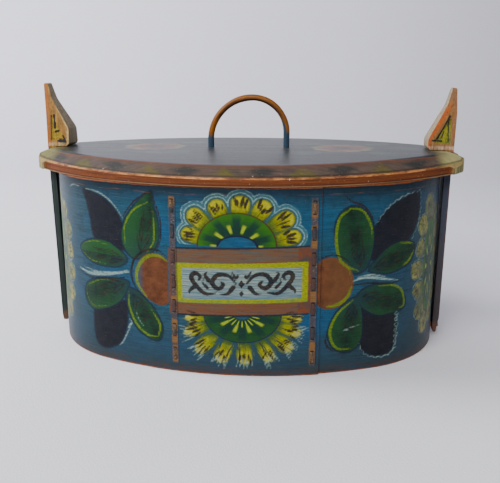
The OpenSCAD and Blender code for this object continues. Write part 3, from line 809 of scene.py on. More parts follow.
def lay_panel(f, n, colour):
    """Panel between the seams: brown bars and borders, a yellow frame and a pale field."""
    s, z, fine, blot, dirt = n.s, n.z, n.fine, n.blot, n.dirt
    level = z - (s - 7.0) * 0.03
    rim = n.wob * 0.8
    wide = (abs(s - 6.5) - 57.5 + rim).within(0.8)
    bar = f.coats(f.mix(f.noise(s * 0.022, z * 0.9, 31, detail=5, rough=0.75).steep(4.4, 1.8),
                        tint(98, 58, 26), tint(64, 78, 74)),
                  ((level < 84.0) * 0.45, tint(98, 54, 28)),
                  (dirt.steep(5.0, 2.6) * 0.7, tint(38, 52, 62)))
    colour = f.mix(wide * (abs(level - 85.0) - 29.4 + rim * 0.6).within(0.8), colour, bar)
    for edge in (114.6, 55.4):
        colour = f.mix(wide * (abs(level - edge) - 0.8 + rim * 0.5).within(0.6) * fine.steep(3.0, 0.4),
                       colour, tint(26, 32, 42))
    sides = (abs(s - 61.5) - 7.0).within(0.8).high((abs(s + 53.0) - 3.2).within(0.8))
    border = f.coats(f.mix(blot.steep(3.4, 1.3), tint(104, 54, 26), tint(56, 56, 54)),
                     (dirt.steep(5.0, 2.9) * 0.6, tint(50, 66, 78)))
    gold = f.coats(f.mix(fine.steep(2.6, 0.8), tint(88, 104, 2), tint(146, 148, 2)),
                   ((level < 69.0) * blot.steep(3.0, 0.9) * 0.7, tint(78, 108, 50)))
    wash = f.noise(s * 0.04, z * 1.3, 41, detail=5, rough=0.75).steep(4.0, 1.6)
    field = f.coats(f.mix(wash, tint(52, 82, 96), tint(142, 154, 140)),
                    (level.rise(75.0, 69.0) * 0.7, tint(48, 88, 118)))
    return f.coats(
        colour, (sides * (abs(level - 85.0) - 29.0).within(1.0), border),
        ((abs(s - 6.7) - 56.2 + rim).within(0.8) * (abs(level - 84.0) - 17.6 + rim * 0.6).within(0.8), gold),
        ((abs(s - 6.8) - 51.0 + rim).within(0.8) * (abs(level - 83.6) - 13.6 + rim * 0.6).within(0.8), field))


def lay_strokes(f, n, colour):
    """Brush strokes over the flowers: glowing rims, then dark, then pale ones."""
    fine, wob = n.fine, n.wob
    dark, glow, pale = f.field("marks")
    thick = (fine - 0.5) * 1.1
    return f.coats(
        colour,
        ((glow + wob + thick * 0.6).within(0.8) * (0.75 + (fine - 0.5) * 0.8).clip(),
         f.mix(fine.steep(2.4, 0.7), tint(52, 88, 10), tint(116, 134, 8))),
        ((dark + wob * 0.7 + thick * 0.5).within(0.8) * (0.65 + fine * 0.6).clip(),
         f.mix(n.blot.steep(3.0, 1.2), tint(20, 20, 24), tint(46, 30, 18))),
        ((pale + wob * 0.6 + thick * 0.5).within(0.9) * fine.steep(2.4, 0.35),
         f.mix(n.streak.steep(3.0, 1.0), tint(70, 104, 108), tint(150, 168, 156))))


def lay_seams(f, n, colour):
    """The sewn lines are painted over, rubbed bare at some levels, with a painted shadow beside each row and
    a small dark slit of painted shade at each stitch.
    """
    s, z, fine, wob = n.s, n.z, n.fine, n.wob
    bare = f.mix(n.grain.steep(2.2, 0.6), tint(66, 44, 24), tint(140, 100, 56))
    # for each row of sewing: its place, and where it is rubbed bare as (level, half-height)
    for at, levels in ((-52.2, ((152.5, 4.5), (43.5, 5.5), (31.0, 4.0), (16.0, 9.0), (68.0, 2.0))),
                       (67.6, ((146.5, 6.0), (118.0, 3.5), (21.0, 10.0), (72.0, 5.0), (132.0, 2.0)))):
        across = (abs(s - at) - 2.5 + wob * 0.8).within(1.0) * (abs(z - 83.0) - 74.0).within(2.0)
        shadow = (abs(s - at - 3.3) - 0.5).within(0.8) * (abs(z - 83.0) - 73.0).within(2.0)
        ridge = f.coats(f.mix(n.blot, tint(30, 46, 60), tint(84, 62, 50)),
                        (fine.steep(5.0, 2.9), tint(176, 150, 116)))
        colour = f.coats(colour, (across * 0.85, ridge), (shadow * 0.55, tint(18, 22, 28)))
        for level, half in levels:
            gap = (abs(z - level) - half + wob * 2.0).within(2.0)
            colour = f.mix(across * gap * (0.5 + fine * 0.9).clip(), colour, bare)
    # painted shade: a small dark slit at each stitch, where the root goes into the wall
    step = (z - SLIT_Z) / SLIT_STEP + 0.5
    hole = abs(step.part() - 0.5) * SLIT_STEP
    level_at_hole = (hole - 0.55 + wob * 0.3).within(0.6) * (z > 8.0) * (z < 158.0) * (n.face < 0.5)
    for at in SEAMS:
        mark = (abs(s - float(arc_s(at))) - 1.6 + wob * 0.5).within(0.8) * level_at_hole
        colour = f.mix(mark * 0.9, colour, tint(14, 12, 12))
    return colour


def painted_side_finish():
    """Old blue paint on the bent side, with the flowers laid on in brushed coats, worn at every edge; the
    inside is plain old wood."""
    f = Finish("painted_side", Specular_IOR_Level=0.12)
    n = side_noises(f)
    s, z, face, streak, fine, blot, dirt = n.s, n.z, n.face, n.streak, n.fine, n.blot, n.dirt
    blue = blue_ground(f, n)
    colour = lay_fruits(f, n, lay_leaves(f, n, blue))
    colour = lay_discs(f, n, lay_petals(f, n, colour), blue)
    colour = lay_seams(f, n, lay_strokes(f, n, lay_panel(f, n, colour)))
    y = f.place()[1]
    colour = f.mix(y > 0.4, colour, blue)        # no flowers behind

    lap = ((abs(s - float(arc_s(OUTER_LEAF[3])) + 0.1) - 0.3).within(0.5) * blot.steep(3.4, 1.2)
           * (y < 0.0) * 0.6)
    edge = (1.7 - z + n.edge_wear * 0.4).clip().high((z - 164.6 + n.edge_wear * 0.5).clip()).high(lap)
    lid_line = (abs(z - 159.6 + (n.cloud - 0.5) * 5.0) - 0.5).within(0.7) * dirt.steep(5.0, 2.5)
    fleck = f.noise(s * 0.9, z * 1.3, 53, detail=2).steep(9.0, 6.2)
    scratch = f.noise(s * 0.06, z * 2.2, 61, detail=3, rough=0.6).steep(12.0, 7.9)
    pit = f.noise(s * 0.6, z * 0.8, 71, detail=3, rough=0.6).steep(9.0, 5.8)
    wood = f.coats(f.mix(n.grain.steep(2.6, 0.8), tint(84, 60, 38), tint(142, 110, 74)),
                   (streak.steep(3.6, 1.9) * 0.6, tint(72, 50, 32)),
                   (blot.steep(3.0, 1.5) * 0.4, tint(112, 88, 62)),
                   (z.rise(30.0, 16.0) * 0.5, tint(56, 40, 28)))
    colour = f.coats(colour,
                     # dirt and painted shadow under the lid's overhang
                     ((z + n.edge_wear).rise(156.0, 165.0) * 0.6, tint(10, 14, 18)),
                     ((z + n.edge_wear * 2.0).rise(10.0, 3.0) * dirt.steep(5.0, 2.0) * 0.8, tint(66, 46, 34)),
                     (edge * 0.85, f.mix(fine, tint(78, 38, 22), tint(168, 92, 48))),
                     (lid_line * 0.7, tint(112, 70, 44)),
                     (fleck * 0.6, tint(126, 98, 76)),
                     (scratch * 0.35, tint(110, 84, 64)),
                     (pit * 0.65, tint(14, 20, 26)),
                     (face.rise(0.2, 0.8), wood))
    rough = 0.36 + (fine - 0.5) * 0.25 + (streak - 0.5) * 0.2 + edge * 0.2 + face * 0.2
    height = streak * 0.8 + n.grain * 0.5 + fine * 0.3 - fleck * 0.6 - pit * 0.6
    return f.done(colour, rough, height, 0.22)


# ---------------------------------------------------------------- the sewing
def root_lacing(name, node, at_x):
    """Split root woven through the slits: seen from its edge it runs outside and inside by turns, as the
    hyperbolic tangent of a sine, with its flat width along the wall."""
    s0 = arc_s(np.array([at_x]))
    (place,), (out,) = oval(s0)
    outside = SKIN + float(lap_lift(s0, OUTER_LEAF)[0]) + 0.45
    inner = -WALL + float(lap_lift(s0, INNER_LEAF)[0]) - 0.1 - ROOT_T / 2
    z = np.linspace(SLIT_Z, SLIT_Z + STITCHES * SLIT_STEP, 1400)
    wave = np.tanh(7 * np.sin(np.pi * (z - SLIT_Z) / SLIT_STEP)) / np.tanh(7)
    depth = (outside + inner) / 2 + (outside - inner) / 2 * wave
    run = np.concatenate([[0], np.cumsum(np.hypot(np.diff(z), np.diff(depth)))])
    even = np.linspace(0, run[-1], 420)
    z, depth = np.interp(even, run, z), np.interp(even, run, depth)
    path = np.stack([place[0] + out[0] * depth, place[1] + out[1] * depth, z], 1)
    taper = np.minimum(1, np.minimum(even, run[-1] - even) / 1.2) ** 0.5
    taper[[0, -1]] = 0.02
    pull = 1 + 0.10 * np.sin(even * 0.61) + 0.05 * np.sin(even * 1.7)
    t = np.gradient(path, axis=0)
    t /= np.linalg.norm(t, axis=1)[:, None]
    wide = np.array([-out[1], out[0], 0.0])
    thick = np.cross(t, wide)
    round_n = 12
    a = np.linspace(0, 2 * np.pi, round_n, endpoint=False)
    squared = np.sign(np.cos(a)) * np.abs(np.cos(a)) ** 0.8
    ring = (wide[None, None] * (squared[None, :] * (ROOT_W / 2 * taper * pull)[:, None])[..., None]
            + thick[:, None] * (np.sin(a)[None, :] * (ROOT_T / 2 * taper)[:, None])[..., None])
    points = (path[:, None] + ring).reshape(-1, 3)
    piece = make_piece(name, points, close_grid(len(path), round_n, wrap_rows=False), "box", node,
                       root_finish(name, at_x))
    carry(piece, "run", np.stack([np.repeat(even, round_n), np.tile(a, len(path)),
                                  np.repeat(depth, round_n) - outside], 1))
    outwards(piece)


def root_finish(name, at_x):
    """Split root: painted over with the side, rubbed bare at some levels, near black as painted shade where
    it dives inside.
    """
    f = Finish(name + "_finish", Specular_IOR_Level=0.2)
    along, turn, depth = f.field("run")
    x, _, z = f.place()
    fibre = f.noise(turn * 2.2, along * 0.12, 5, detail=4, rough=0.6)
    blot = f.noise(z * 0.16, 3.0 + at_x, 9, detail=4)
    chip = f.noise(x * 0.9, z * 0.5, 13, detail=4, rough=0.75)
    wood = f.coats(f.mix(fibre.steep(2.6, 0.8), tint(54, 38, 22), tint(146, 112, 66)),
                   (chip.steep(8.0, 3.7) * 0.9, tint(36, 36, 40)))
    paint = f.coats(f.mix(blot.steep(3.4, 1.2), tint(20, 40, 54), tint(70, 56, 46)),
                    (chip.steep(5.0, 2.3) * 0.6, tint(34, 30, 30)),
                    ((abs(z - 85.0) - 28.0).within(3.0) * 0.75,
                     f.mix(chip.steep(4.0, 1.5), tint(88, 48, 26), tint(42, 42, 44))))
    bare = chip.steep(9.0, 6.0) * 0.5
    for level, half in (((152.5, 4.0), (43.0, 4.5), (31.0, 3.0), (14.0, 7.0)) if at_x < 0 else
                        ((147.0, 6.0), (119.0, 2.5), (20.0, 9.0), (72.0, 3.0))):
        bare = bare.high((abs(z - level) - half + (chip - 0.5) * 9.0).within(2.5) * (1.15 - chip).clip())
    colour = f.coats(paint, (bare, wood),
                     (chip.steep(9.0, 6.3) * 0.8, tint(176, 150, 112)),
                     # painted shade where the root dives into its slit and runs inside
                     ((-depth).rise(0.15, 0.7), tint(14, 11, 10)))
    return f.done(colour, 0.5 + fibre * 0.2, fibre * 0.7 + chip * 0.6, 0.25)


# ---------------------------------------------------------------- the lid
def lid_half(x):
    """Half-width of the lid at x: the long arc, and past the corners the lower of it and the round end."""
    long = np.sqrt(LID_R**2 - x**2) - LID_C
    lobe = np.sqrt(np.maximum(LOBE_R**2 - (np.abs(x) - LOBE_C) ** 2, 0))
    return np.where(np.abs(x) > LOBE_FROM, np.minimum(long, lobe), long)


def lid_edge_gap(x, y):
    """Distance in from the nearest edge of the lid, and the same without its notches: the edges are long
    arcs, round ends and the notches for the posts."""
    long = LID_R - np.hypot(x, np.abs(y) + LID_C)
    lobe = np.where(np.abs(x) > 150, LOBE_R - np.hypot(np.abs(x) - LOBE_C, y), 99.0)
    lobe = np.where(np.abs(x) > LOBE_FROM - 3, lobe, np.maximum(lobe, long))
    floor = np.where(x > 0, NOTCH_RIGHT, NOTCH_LEFT)
    notch = np.hypot(np.maximum(floor - np.abs(x), 0), np.maximum(np.abs(y) - NOTCH_Y, 0))
    return np.maximum(np.minimum(np.minimum(long, lobe), notch), 0), np.minimum(long, lobe)


def crown_z(y):
    """Height of the slightly arched top."""
    return LID_TOP - y**2 / (2 * CROWN_R)


def bevel_z(x, y):
    """Height of the bevel, part of a cone along each long edge."""
    return BEVEL_Z + (BEVEL_R - np.hypot(x, np.abs(y) + BEVEL_C)) / BEVEL_RUN


def lid_top(x, y):
    """Height of the lid: the lowest of its crown, the bevel cone and the sloping ends, met softly, and
    a small round off every edge."""
    sheets = np.stack([crown_z(y), bevel_z(x, y), LID_TOP - (np.abs(x) - 189.0) / 3.0])
    soft, r = 0.28, 1.3
    lowest = sheets.min(0)
    z = -soft * np.log(np.exp(-(sheets - lowest) / soft).sum(0)) + lowest
    off = np.clip(1 - lid_edge_gap(x, y)[0] / r, 0, 1)
    wear = 0.25 * np.sin(x * 0.083 + 1.0) * np.sin(y * 0.11 + x * 0.031)
    return z - (r + wear * r) * (1 - np.sqrt(1 - off**2)) * 0.75


def crease_y(x):
    """Where the bevel meets the crown, by a few rounds of substitution."""
    y = np.full_like(x, 60.0)
    for _ in range(12):
        radius = BEVEL_R - BEVEL_RUN * (crown_z(y) - BEVEL_Z)
        y = np.sqrt(np.maximum(radius**2 - x**2, 1)) - BEVEL_C
    return y


def lid_sheet():
    """Flat grid of the lid, as points and faces seen from above. Columns of one grid cover the middle,
    two smaller grids each end's ears, out to the round end."""
    xs = np.concatenate([[-NOTCH_LEFT, -187.4, -186.8], np.linspace(-185.6, 184.6, 172),
                         [185.8, 186.4, NOTCH_RIGHT]])
    for corner in (-LOBE_FROM, LOBE_FROM):
        xs[np.abs(xs - corner).argmin()] = corner
    half = lid_half(xs)
    # shares of the half-width: out to the notch, on to the crease, on to the edge
    vn = NOTCH_Y / np.interp(xs, [xs[0], xs[-1]], lid_half(xs[[0, -1]]))
    vc = np.clip(crease_y(xs) / half, vn + 0.08, 0.93)
    notch_n = 8
    a = np.linspace(0, 1, notch_n + 1)
    b = np.concatenate([np.linspace(0, 0.95, 26), [0.985]])[1:]
    c = np.concatenate([[0, 0.03], np.linspace(0.1, 0.86, 7), [0.905, 0.94, 0.965, 0.982, 0.993, 1.0]])
    row = np.concatenate([vn[:, None] * a[None], vn[:, None] + (vc - vn)[:, None] * b[None],
                          vc[:, None] + (1 - vc)[:, None] * c[None]], 1)
    v = np.concatenate([-row[:, :0:-1], row], 1)
    x, y = np.broadcast_to(xs[:, None], v.shape), v * half[:, None]
    n_rows, n_cols = v.shape
    middle = row.shape[1] - 1
    sheets, count = [np.stack([x, y], -1).reshape(-1, 2)], n_rows * n_cols
    faces = [close_grid(n_rows, n_cols, False, False)[:, ::-1]]

    q = np.concatenate([[0.035, 0.08], np.linspace(0.16, 0.86, 8), [0.91, 0.95, 0.98, 1.0]])
    for hand, edge_row in ((1, n_rows - 1), (-1, 0)):
        for side in (-1, 1):
            cols = np.arange(middle + notch_n, n_cols) if side > 0 else np.arange(middle - notch_n, -1, -1)
            y0, x0 = y[edge_row, cols], np.abs(xs[edge_row])
            x1 = LOBE_C + np.sqrt(np.maximum(LOBE_R**2 - y0**2, 0))
            ex = hand * (x0 + np.maximum(x1 - x0, 0)[None] * q[:, None])
            ey = np.broadcast_to(y0[None], ex.shape)
            sheets.append(np.stack([ex, ey], -1).reshape(-1, 2))
            ids = np.vstack([edge_row * n_cols + cols, count + np.arange(ex.size).reshape(ex.shape)])
            quads = np.stack([ids[:-1, :-1], ids[:-1, 1:], ids[1:, 1:], ids[1:, :-1]], -1).reshape(-1, 4)
            faces.append(quads if hand * side < 0 else quads[:, ::-1])
            count += ex.size
    flat, faces = np.vstack(sheets), np.vstack(faces)
    # the last column of each ear shrinks to one point: merge points that fall together
    _, first, same = np.unique(np.round(flat, 3), axis=0, return_index=True, return_inverse=True)
    flat, faces = flat[first], same.reshape(-1)[faces]
    # drop faces that shrank to a line, turn the others one way
    turn = np.cross(flat[faces[:, 2]] - flat[faces[:, 0]], flat[faces[:, 3]] - flat[faces[:, 1]])
    faces, turn = faces[np.abs(turn) > 1e-7], turn[np.abs(turn) > 1e-7]
    faces[turn < 0] = faces[turn < 0][:, ::-1]
    return flat, faces


def painted_lid():
    """The lid as a closed skin: the flat grid raised to the top's height, the same grid turned over for
    the under side, and a wall that joins the two round the edge."""
    flat, top_faces = lid_sheet()
    n = len(flat)
    top = np.column_stack([flat, lid_top(flat[:, 0], flat[:, 1])])
    gap, _ = lid_edge_gap(flat[:, 0], flat[:, 1])
    r = 0.7
    under_z = LID_Z + 0.02 + r * (1 - np.sqrt(1 - np.clip(1 - gap / r, 0, 1) ** 2))
    under = np.column_stack([flat, under_z])
    # edges met by one face only are the rim, in the order that their face runs
    pairs = np.stack([top_faces, np.roll(top_faces, -1, 1)], -1).reshape(-1, 2)
    pairs = pairs[pairs[:, 0] != pairs[:, 1]]
    code, back = pairs[:, 0] * n + pairs[:, 1], pairs[:, 1] * n + pairs[:, 0]
    rim = pairs[~np.isin(code, back)]
    rim_ids = np.unique(rim)
    place_in_rim = np.full(n, -1)
    place_in_rim[rim_ids] = np.arange(len(rim_ids))
    levels = 6
    share = np.linspace(0, 1, levels + 2)[1:-1, None, None]
    wall = top[rim_ids][None] * (1 - share) + under[rim_ids][None] * share
    wall_id = np.vstack([rim_ids, 2 * n + np.arange(levels * len(rim_ids)).reshape(levels, -1), rim_ids + n])
    i, j = place_in_rim[rim[:, 0]], place_in_rim[rim[:, 1]]
    wall_faces = np.concatenate([np.stack([high[j], high[i], low[i], low[j]], 1)
                                 for high, low in zip(wall_id[:-1], wall_id[1:])])
    points = np.vstack([top, under, wall.reshape(-1, 3)])
    faces = np.vstack([top_faces, top_faces[:, ::-1] + n, wall_faces])
    piece = make_piece("painted_lid", points, faces, "lid", "lid_board", painted_lid_finish())

    zone = np.repeat([0.0, 1.0, 0.5], [n, n, len(points) - 2 * n])
    gap, edge = lid_edge_gap(points[:, 0], points[:, 1])
    crease = crease_y(np.clip(points[:, 0], -200, 200)) - np.abs(points[:, 1])
    carry(piece, "lid", np.stack([gap, crease, zone], 1))
    petal, leaf, mark = lid_ornament()
    on = np.arange(n)
    carry_on(piece, "petal", on, patches(flat, petal))
    carry_on(piece, "leaf", on, patches(flat, leaf))
    carry_on(piece, "marks", on, np.stack([strokes(flat, mark), edge[on], edge[on]], 1), (FAR, FAR, FAR))


def lid_ornament():
    """Faded flowers on the lid: a rosette on each side of the handle with leaves to the ends."""
    lobe = [(0.35, -0.35), (0.7, -0.95), (0.93, -0.7), (1.0, 0), (0.93, 0.7), (0.7, 0.95), (0.35, 0.35)]
    blade = [(0, 0), (0.25, -0.8), (0.6, -0.9), (1.0, 0), (0.6, 0.9), (0.25, 0.8)]
    petal, leaf, mark = [], [], []
    for hand in (-1, 1):
        c = np.array([hand * 92.0, 0.0])
        for k in range(9):
            deg = 40 * k + 10
            tip = turned([(30, 0)], c, deg)[0]
            petal.append((turned([(u * 30, v * 9.5) for u, v in lobe], c, deg), c, tip))
        for deg, at, size in ((0, (40, 0), 38), (52, (26, 26), 34), (-52, (26, -26), 34),
                              (128, (-22, 28), 32), (-128, (-22, -28), 32)):
            base = c + np.array([hand * at[0], at[1]])
            turn = deg if hand > 0 else 180 - deg
            tip = turned([(size, 0)], base, turn)[0]
            leaf.append((turned([(u * size, v * 11) for u, v in blade], base, turn), base, tip))
            mark.append(((base, (base + tip) / 2 + [0, 1.5], tip), 0.7, 1))
        for side in (1, -1):
            mark.append((((c[0], side * 58), (c[0] - hand * 30, side * 74), (c[0] - hand * 66, side * 78)),
                         1.6, 0))
    return petal, leaf, mark


def painted_lid_finish():
    """Old glossy paint: grey-blue plateau with faded flowers, brown bevel with a toothed border, edge
    worn to orange-brown wood, ears of bare greenish end grain. The zone is 0 on top, 0.5 on the edge face
    and 1 underneath."""
    f = Finish("painted_lid", Specular_IOR_Level=0.2, Coat_Roughness=0.3)
    x, y, z = f.place()
    gap, crease, zone = f.field("lid")
    grain = f.noise(x * 0.010, y * 0.42, z * 0.3, detail=6, rough=0.7)
    band = f.noise(x * 0.006, y * 0.07, 5, detail=4, rough=0.6)
    fine = f.noise(x * 0.2, y * 0.6, z * 0.5, detail=3)
    blot = f.noise(x * 0.05, y * 0.06, z * 0.1 + 3, detail=4, rough=0.6)
    patch = f.noise(x * 0.016, y * 0.05, 21, detail=4, rough=0.65)
    wob = (f.noise(x * 0.2, y * 0.3, 9, detail=3) - 0.5) * 2.6 + (blot - 0.5) * 2.0
    chip = f.noise(x * 0.35, y * 0.35, z * 0.5, detail=4, rough=0.7)
    run = f.noise(x * 0.06, y * 0.06, z * 0.2, detail=5, rough=0.75)

    # plateau, with its flowers nearly rubbed away; low is the distance in from the crease
    leaf = f.field("leaf")[0]
    petal, out, _ = f.field("petal")
    dark, edge, _ = f.field("marks")
    fade = (blot * 2.6 - 0.75 + (grain - 0.5)).clip()
    low = crease + (abs(x) - 120.0).high(0.0) * 0.075
    top = f.coats(f.mix(band.steep(2.4, 0.7), tint(28, 35, 40), tint(56, 60, 58)),
                  (grain.steep(4.0, 2.1) * 0.5, tint(26, 32, 38)),
                  (patch.steep(5.0, 2.9) * 0.45, tint(120, 118, 104)),
                  ((leaf + wob * 1.5).within(3.5) * fade * 0.6, tint(70, 92, 62)),
                  ((petal + wob * 1.5).within(3.5) * fade * 0.75,
                   f.mix(out.rise(0.6, 0.95), tint(140, 76, 56), tint(158, 150, 84))),
                  ((dark + wob * 0.6).within(1.5) * fade * 0.6, tint(20, 24, 30)),
                  ((abs(low - 4.5 + wob * 0.7) - 1.8).within(2.5) * 0.45, tint(34, 66, 82)))

    # bevel: brown with teeth of olive from the lower edge and of dark teal between, all rubbed
    pitch = (x + 8.0 + (patch - 0.5) * 6.0) / 65.0
    tooth = abs((pitch + 0.5).part() - 0.5)
    between = (abs(edge - 7.0) - (6.0 - abs(tooth - 0.5) * 34.0) + wob * 1.6).within(4.5)
    thin = (blot * 2.8 - 0.8 + (fine - 0.5) * 1.4).clip()
    brown = f.coats(f.mix(grain.steep(2.6, 0.8), tint(60, 50, 45), tint(96, 80, 70)),
                    (blot.steep(3.0, 1.3) * 0.7, tint(52, 50, 48)),
                    ((edge - (11.0 - tooth * 52.0) + wob * 1.6).within(4.5) * thin * 0.75,
                     f.mix(fine, tint(66, 64, 16), tint(106, 102, 26))),
                    (between * 0.7, tint(28, 40, 42)))
    bevel = low.rise(0.5, -0.5)
    line = (abs(low + 0.2 + wob * 0.25) - 0.55).within(0.8)

    # ends: olive paint thinning out over the ears
    ear = (abs(x) + (blot - 0.5) * 16.0).rise(172.0, 190.0)
    olive = f.coats(f.mix(grain.steep(3.0, 1.0), tint(102, 100, 46), tint(176, 166, 104)),
                    (chip.steep(4.0, 2.0) * 0.6, tint(112, 74, 44)),
                    # painted light and shade: the right ear is painted lighter and the left darker
                    ((x > 0.0) * 0.5, tint(196, 190, 134)),
                    ((x < 0.0) * 0.55, tint(84, 92, 40)))

    # arris rubbed to bright wood and painted with a highlight along it, edge face orange-brown with end grain
    # at the ears
    wood = f.coats(f.mix(f.noise(x * 0.02, y * 0.02, z * 1.1, detail=5, rough=0.7).steep(3.0, 1.0),
                         tint(60, 26, 9), tint(116, 60, 22)),
                   (chip.steep(4.0, 2.2) * 0.6, tint(52, 26, 16)))
    rubbed_and_highlit = f.coats(f.mix(run.steep(4.0, 1.6), tint(112, 50, 14), tint(206, 144, 84)),
                     (ear * 0.8, f.mix(chip, tint(104, 84, 32), tint(172, 158, 104))))
    streaks = f.noise(y * 0.8, x * 0.8, z * 0.04, detail=4, rough=0.7)
    end_grain = f.coats(f.mix(streaks.steep(4.4, 1.7), tint(64, 72, 28), tint(166, 158, 112)),
                        (blot.steep(4.0, 2.2) * 0.7, tint(118, 72, 34)))
    side = f.coats(wood, ((z + wob * 0.3).rise(168.8, 167.0) * 0.8, tint(40, 18, 12)),
                   # wear and painted highlight along the top rim of the edge face
                   ((z + wob * 0.2).rise(173.5, 174.3) * run.steep(4.0, 1.1), rubbed_and_highlit),
                   ((abs(x) + (blot - 0.5) * 7.0).rise(188.0, 193.0) * 0.9, end_grain))
    rub = (gap - 0.5 + wob * 0.2).within(0.8) * (zone < 0.4)

    fleck = f.noise(x * 0.5, y * 0.7, z * 0.7, detail=2).steep(9.0, 6.2)
    white = f.noise(x * 0.22, y * 0.22, z * 0.2 + 40, detail=3, rough=0.6).steep(12.0, 8.4)
    colour = f.coats(top, (bevel, brown),
                     (line * (0.25 + fine * 0.7).clip(), tint(126, 66, 44)),
                     ((abs(low + 2.4 + wob * 0.3) - 1.6).within(2.0) * 0.35, tint(98, 60, 42)),
                     (ear * 0.85, olive),
                     # wear and painted highlight along the rim of the top
                     (rub * run.steep(4.0, 1.0), rubbed_and_highlit),
                     ((abs(gap - 1.6 + wob * 0.4) - 0.9).within(0.9) * (zone < 0.4) * 0.6, tint(44, 28, 20)),
                     ((abs(zone - 0.5) - 0.25).within(0.02), side),
                     (zone > 0.8, f.mix(grain, tint(96, 66, 40), tint(142, 104, 66))),
                     (fleck * 0.5, tint(186, 160, 136)),
                     (white * (zone < 0.8) * (gap < 3.0), tint(206, 200, 196)))
    rough = 0.41 + (fine - 0.5) * 0.14 + (band - 0.5) * 0.2 + bevel * 0.16 + (zone > 0.3) * 0.16 + ear * 0.12
    height = grain * 0.6 + fine * 0.25 - fleck * 0.4 + band * 0.5
    sheen = (1.0 - bevel) * (1.0 - ear) * (zone < 0.3) * 0.08
    return f.done(colour, rough, height, 0.14, coat=sheen)


# ---------------------------------------------------------------- the bow handle
def bow_rod():
    """One bent rod: a straight leg, a quarter bow of 41 mm, a quarter bow of 33 mm and a straight leg,
    round in section with the small flats that whittling leaves."""
    top, middle, foot = ROD_TOP, ROD_MIDDLE, ROD_FOOT
    wide, narrow = ROD_BOWS
    a = np.linspace(np.pi, np.pi / 2, 48)[1:]
    b = np.linspace(np.pi / 2, 0, 40)[1:]
    up = np.linspace(foot, top - wide, 22)
    down = np.linspace(top - narrow, foot, 28)[1:]
    x = np.concatenate([np.full(len(up), middle - wide), middle + wide * np.cos(a),
                        middle + narrow * np.cos(b), np.full(len(down), middle + narrow)])
    z = np.concatenate([up, top - wide + wide * np.sin(a), top - narrow + narrow * np.sin(b), down])
    path = np.stack([x, np.zeros_like(x), z], 1)
    path = np.vstack([path[:1], path[:1] + [0, 0, 0.4], path[1:-1], path[-1:] + [0, 0, 0.4], path[-1:]])
    run = np.concatenate([[0], np.cumsum(np.linalg.norm(np.diff(path, axis=0), axis=1))])
    size = np.full(len(path), ROD_R)
    size[[0, -1]] = 0.02
    size[[1, -2]] = 2.8
    size[2:-2] -= 0.10 + 0.08 * np.sin(run[2:-2] * 0.21)
    n = 28
    points, faces = tube(path, size, n, np.array([0.0, 1.0, 0.0]))
    turn = np.tile(np.linspace(0, 2 * np.pi, n, endpoint=False), len(path))
    along = np.repeat(run, n)
    centre = np.repeat(path, n, axis=0)
    flats = 1 - 0.035 * (1 + np.cos(turn * 7 + np.sin(along * 0.05) * 2))
    points = centre + (points - centre) * flats[:, None]
    piece = make_piece("bow_rod", points, faces[:, ::-1], "lid", "lid_handle", bow_rod_finish())
    carry(piece, "run", np.stack([along, turn, np.repeat(size, n)], 1))
    outwards(piece)


def bow_rod_finish():
    """Bent rod in old ochre-orange paint with painted shade underneath, its legs painted over in the lid's
    blue.
    """
    f = Finish("bow_rod", Specular_IOR_Level=0.25)
    along, turn, _ = f.field("run")
    x, _, z = f.place()
    nx, _, nz = f.place("Normal")
    fibre = f.noise(turn * 1.2, along * 0.05, 3, detail=4, rough=0.6)
    blot = f.noise(along * 0.09, turn * 0.7, 9, detail=3)
    smoke = f.noise(along * 0.3, turn * 1.5, 21, detail=4, rough=0.7).steep(6.0, 3.3)
    chip = f.noise(along * 0.5, turn * 2.0, 15, detail=3).steep(7.0, 4.5)
    # painted shade on the underside of the bow
    inner = (0.35 - nz + (blot - 0.5) * 0.7).rise(0.1, 0.6) * z.rise(206.0, 216.0)
    # the blue reaches higher on the right leg, and highest on the side of it that faces the bow
    reach = (x > 0.0) * 11.0 * (-nx).rise(-0.2, 0.5) + 196.0 + (x > 0.0) * 4.0
    blue = (z - reach + (blot - 0.5) * 7.0).within(3.0)
    colour = f.coats(f.mix(fibre.steep(1.8, 0.4), tint(88, 46, 3), tint(150, 90, 12)),
                     (smoke * 0.75, tint(50, 26, 8)),
                     (inner * 0.9, f.mix(blot, tint(26, 14, 8), tint(56, 30, 12))),
                     (blue * 0.93, f.mix(fibre, tint(10, 36, 52), tint(24, 72, 96))),
                     (chip * 0.5, tint(170, 116, 48)))
    return f.done(colour, 0.36 + fibre * 0.16, fibre * 0.6 + chip * 0.3, 0.16)


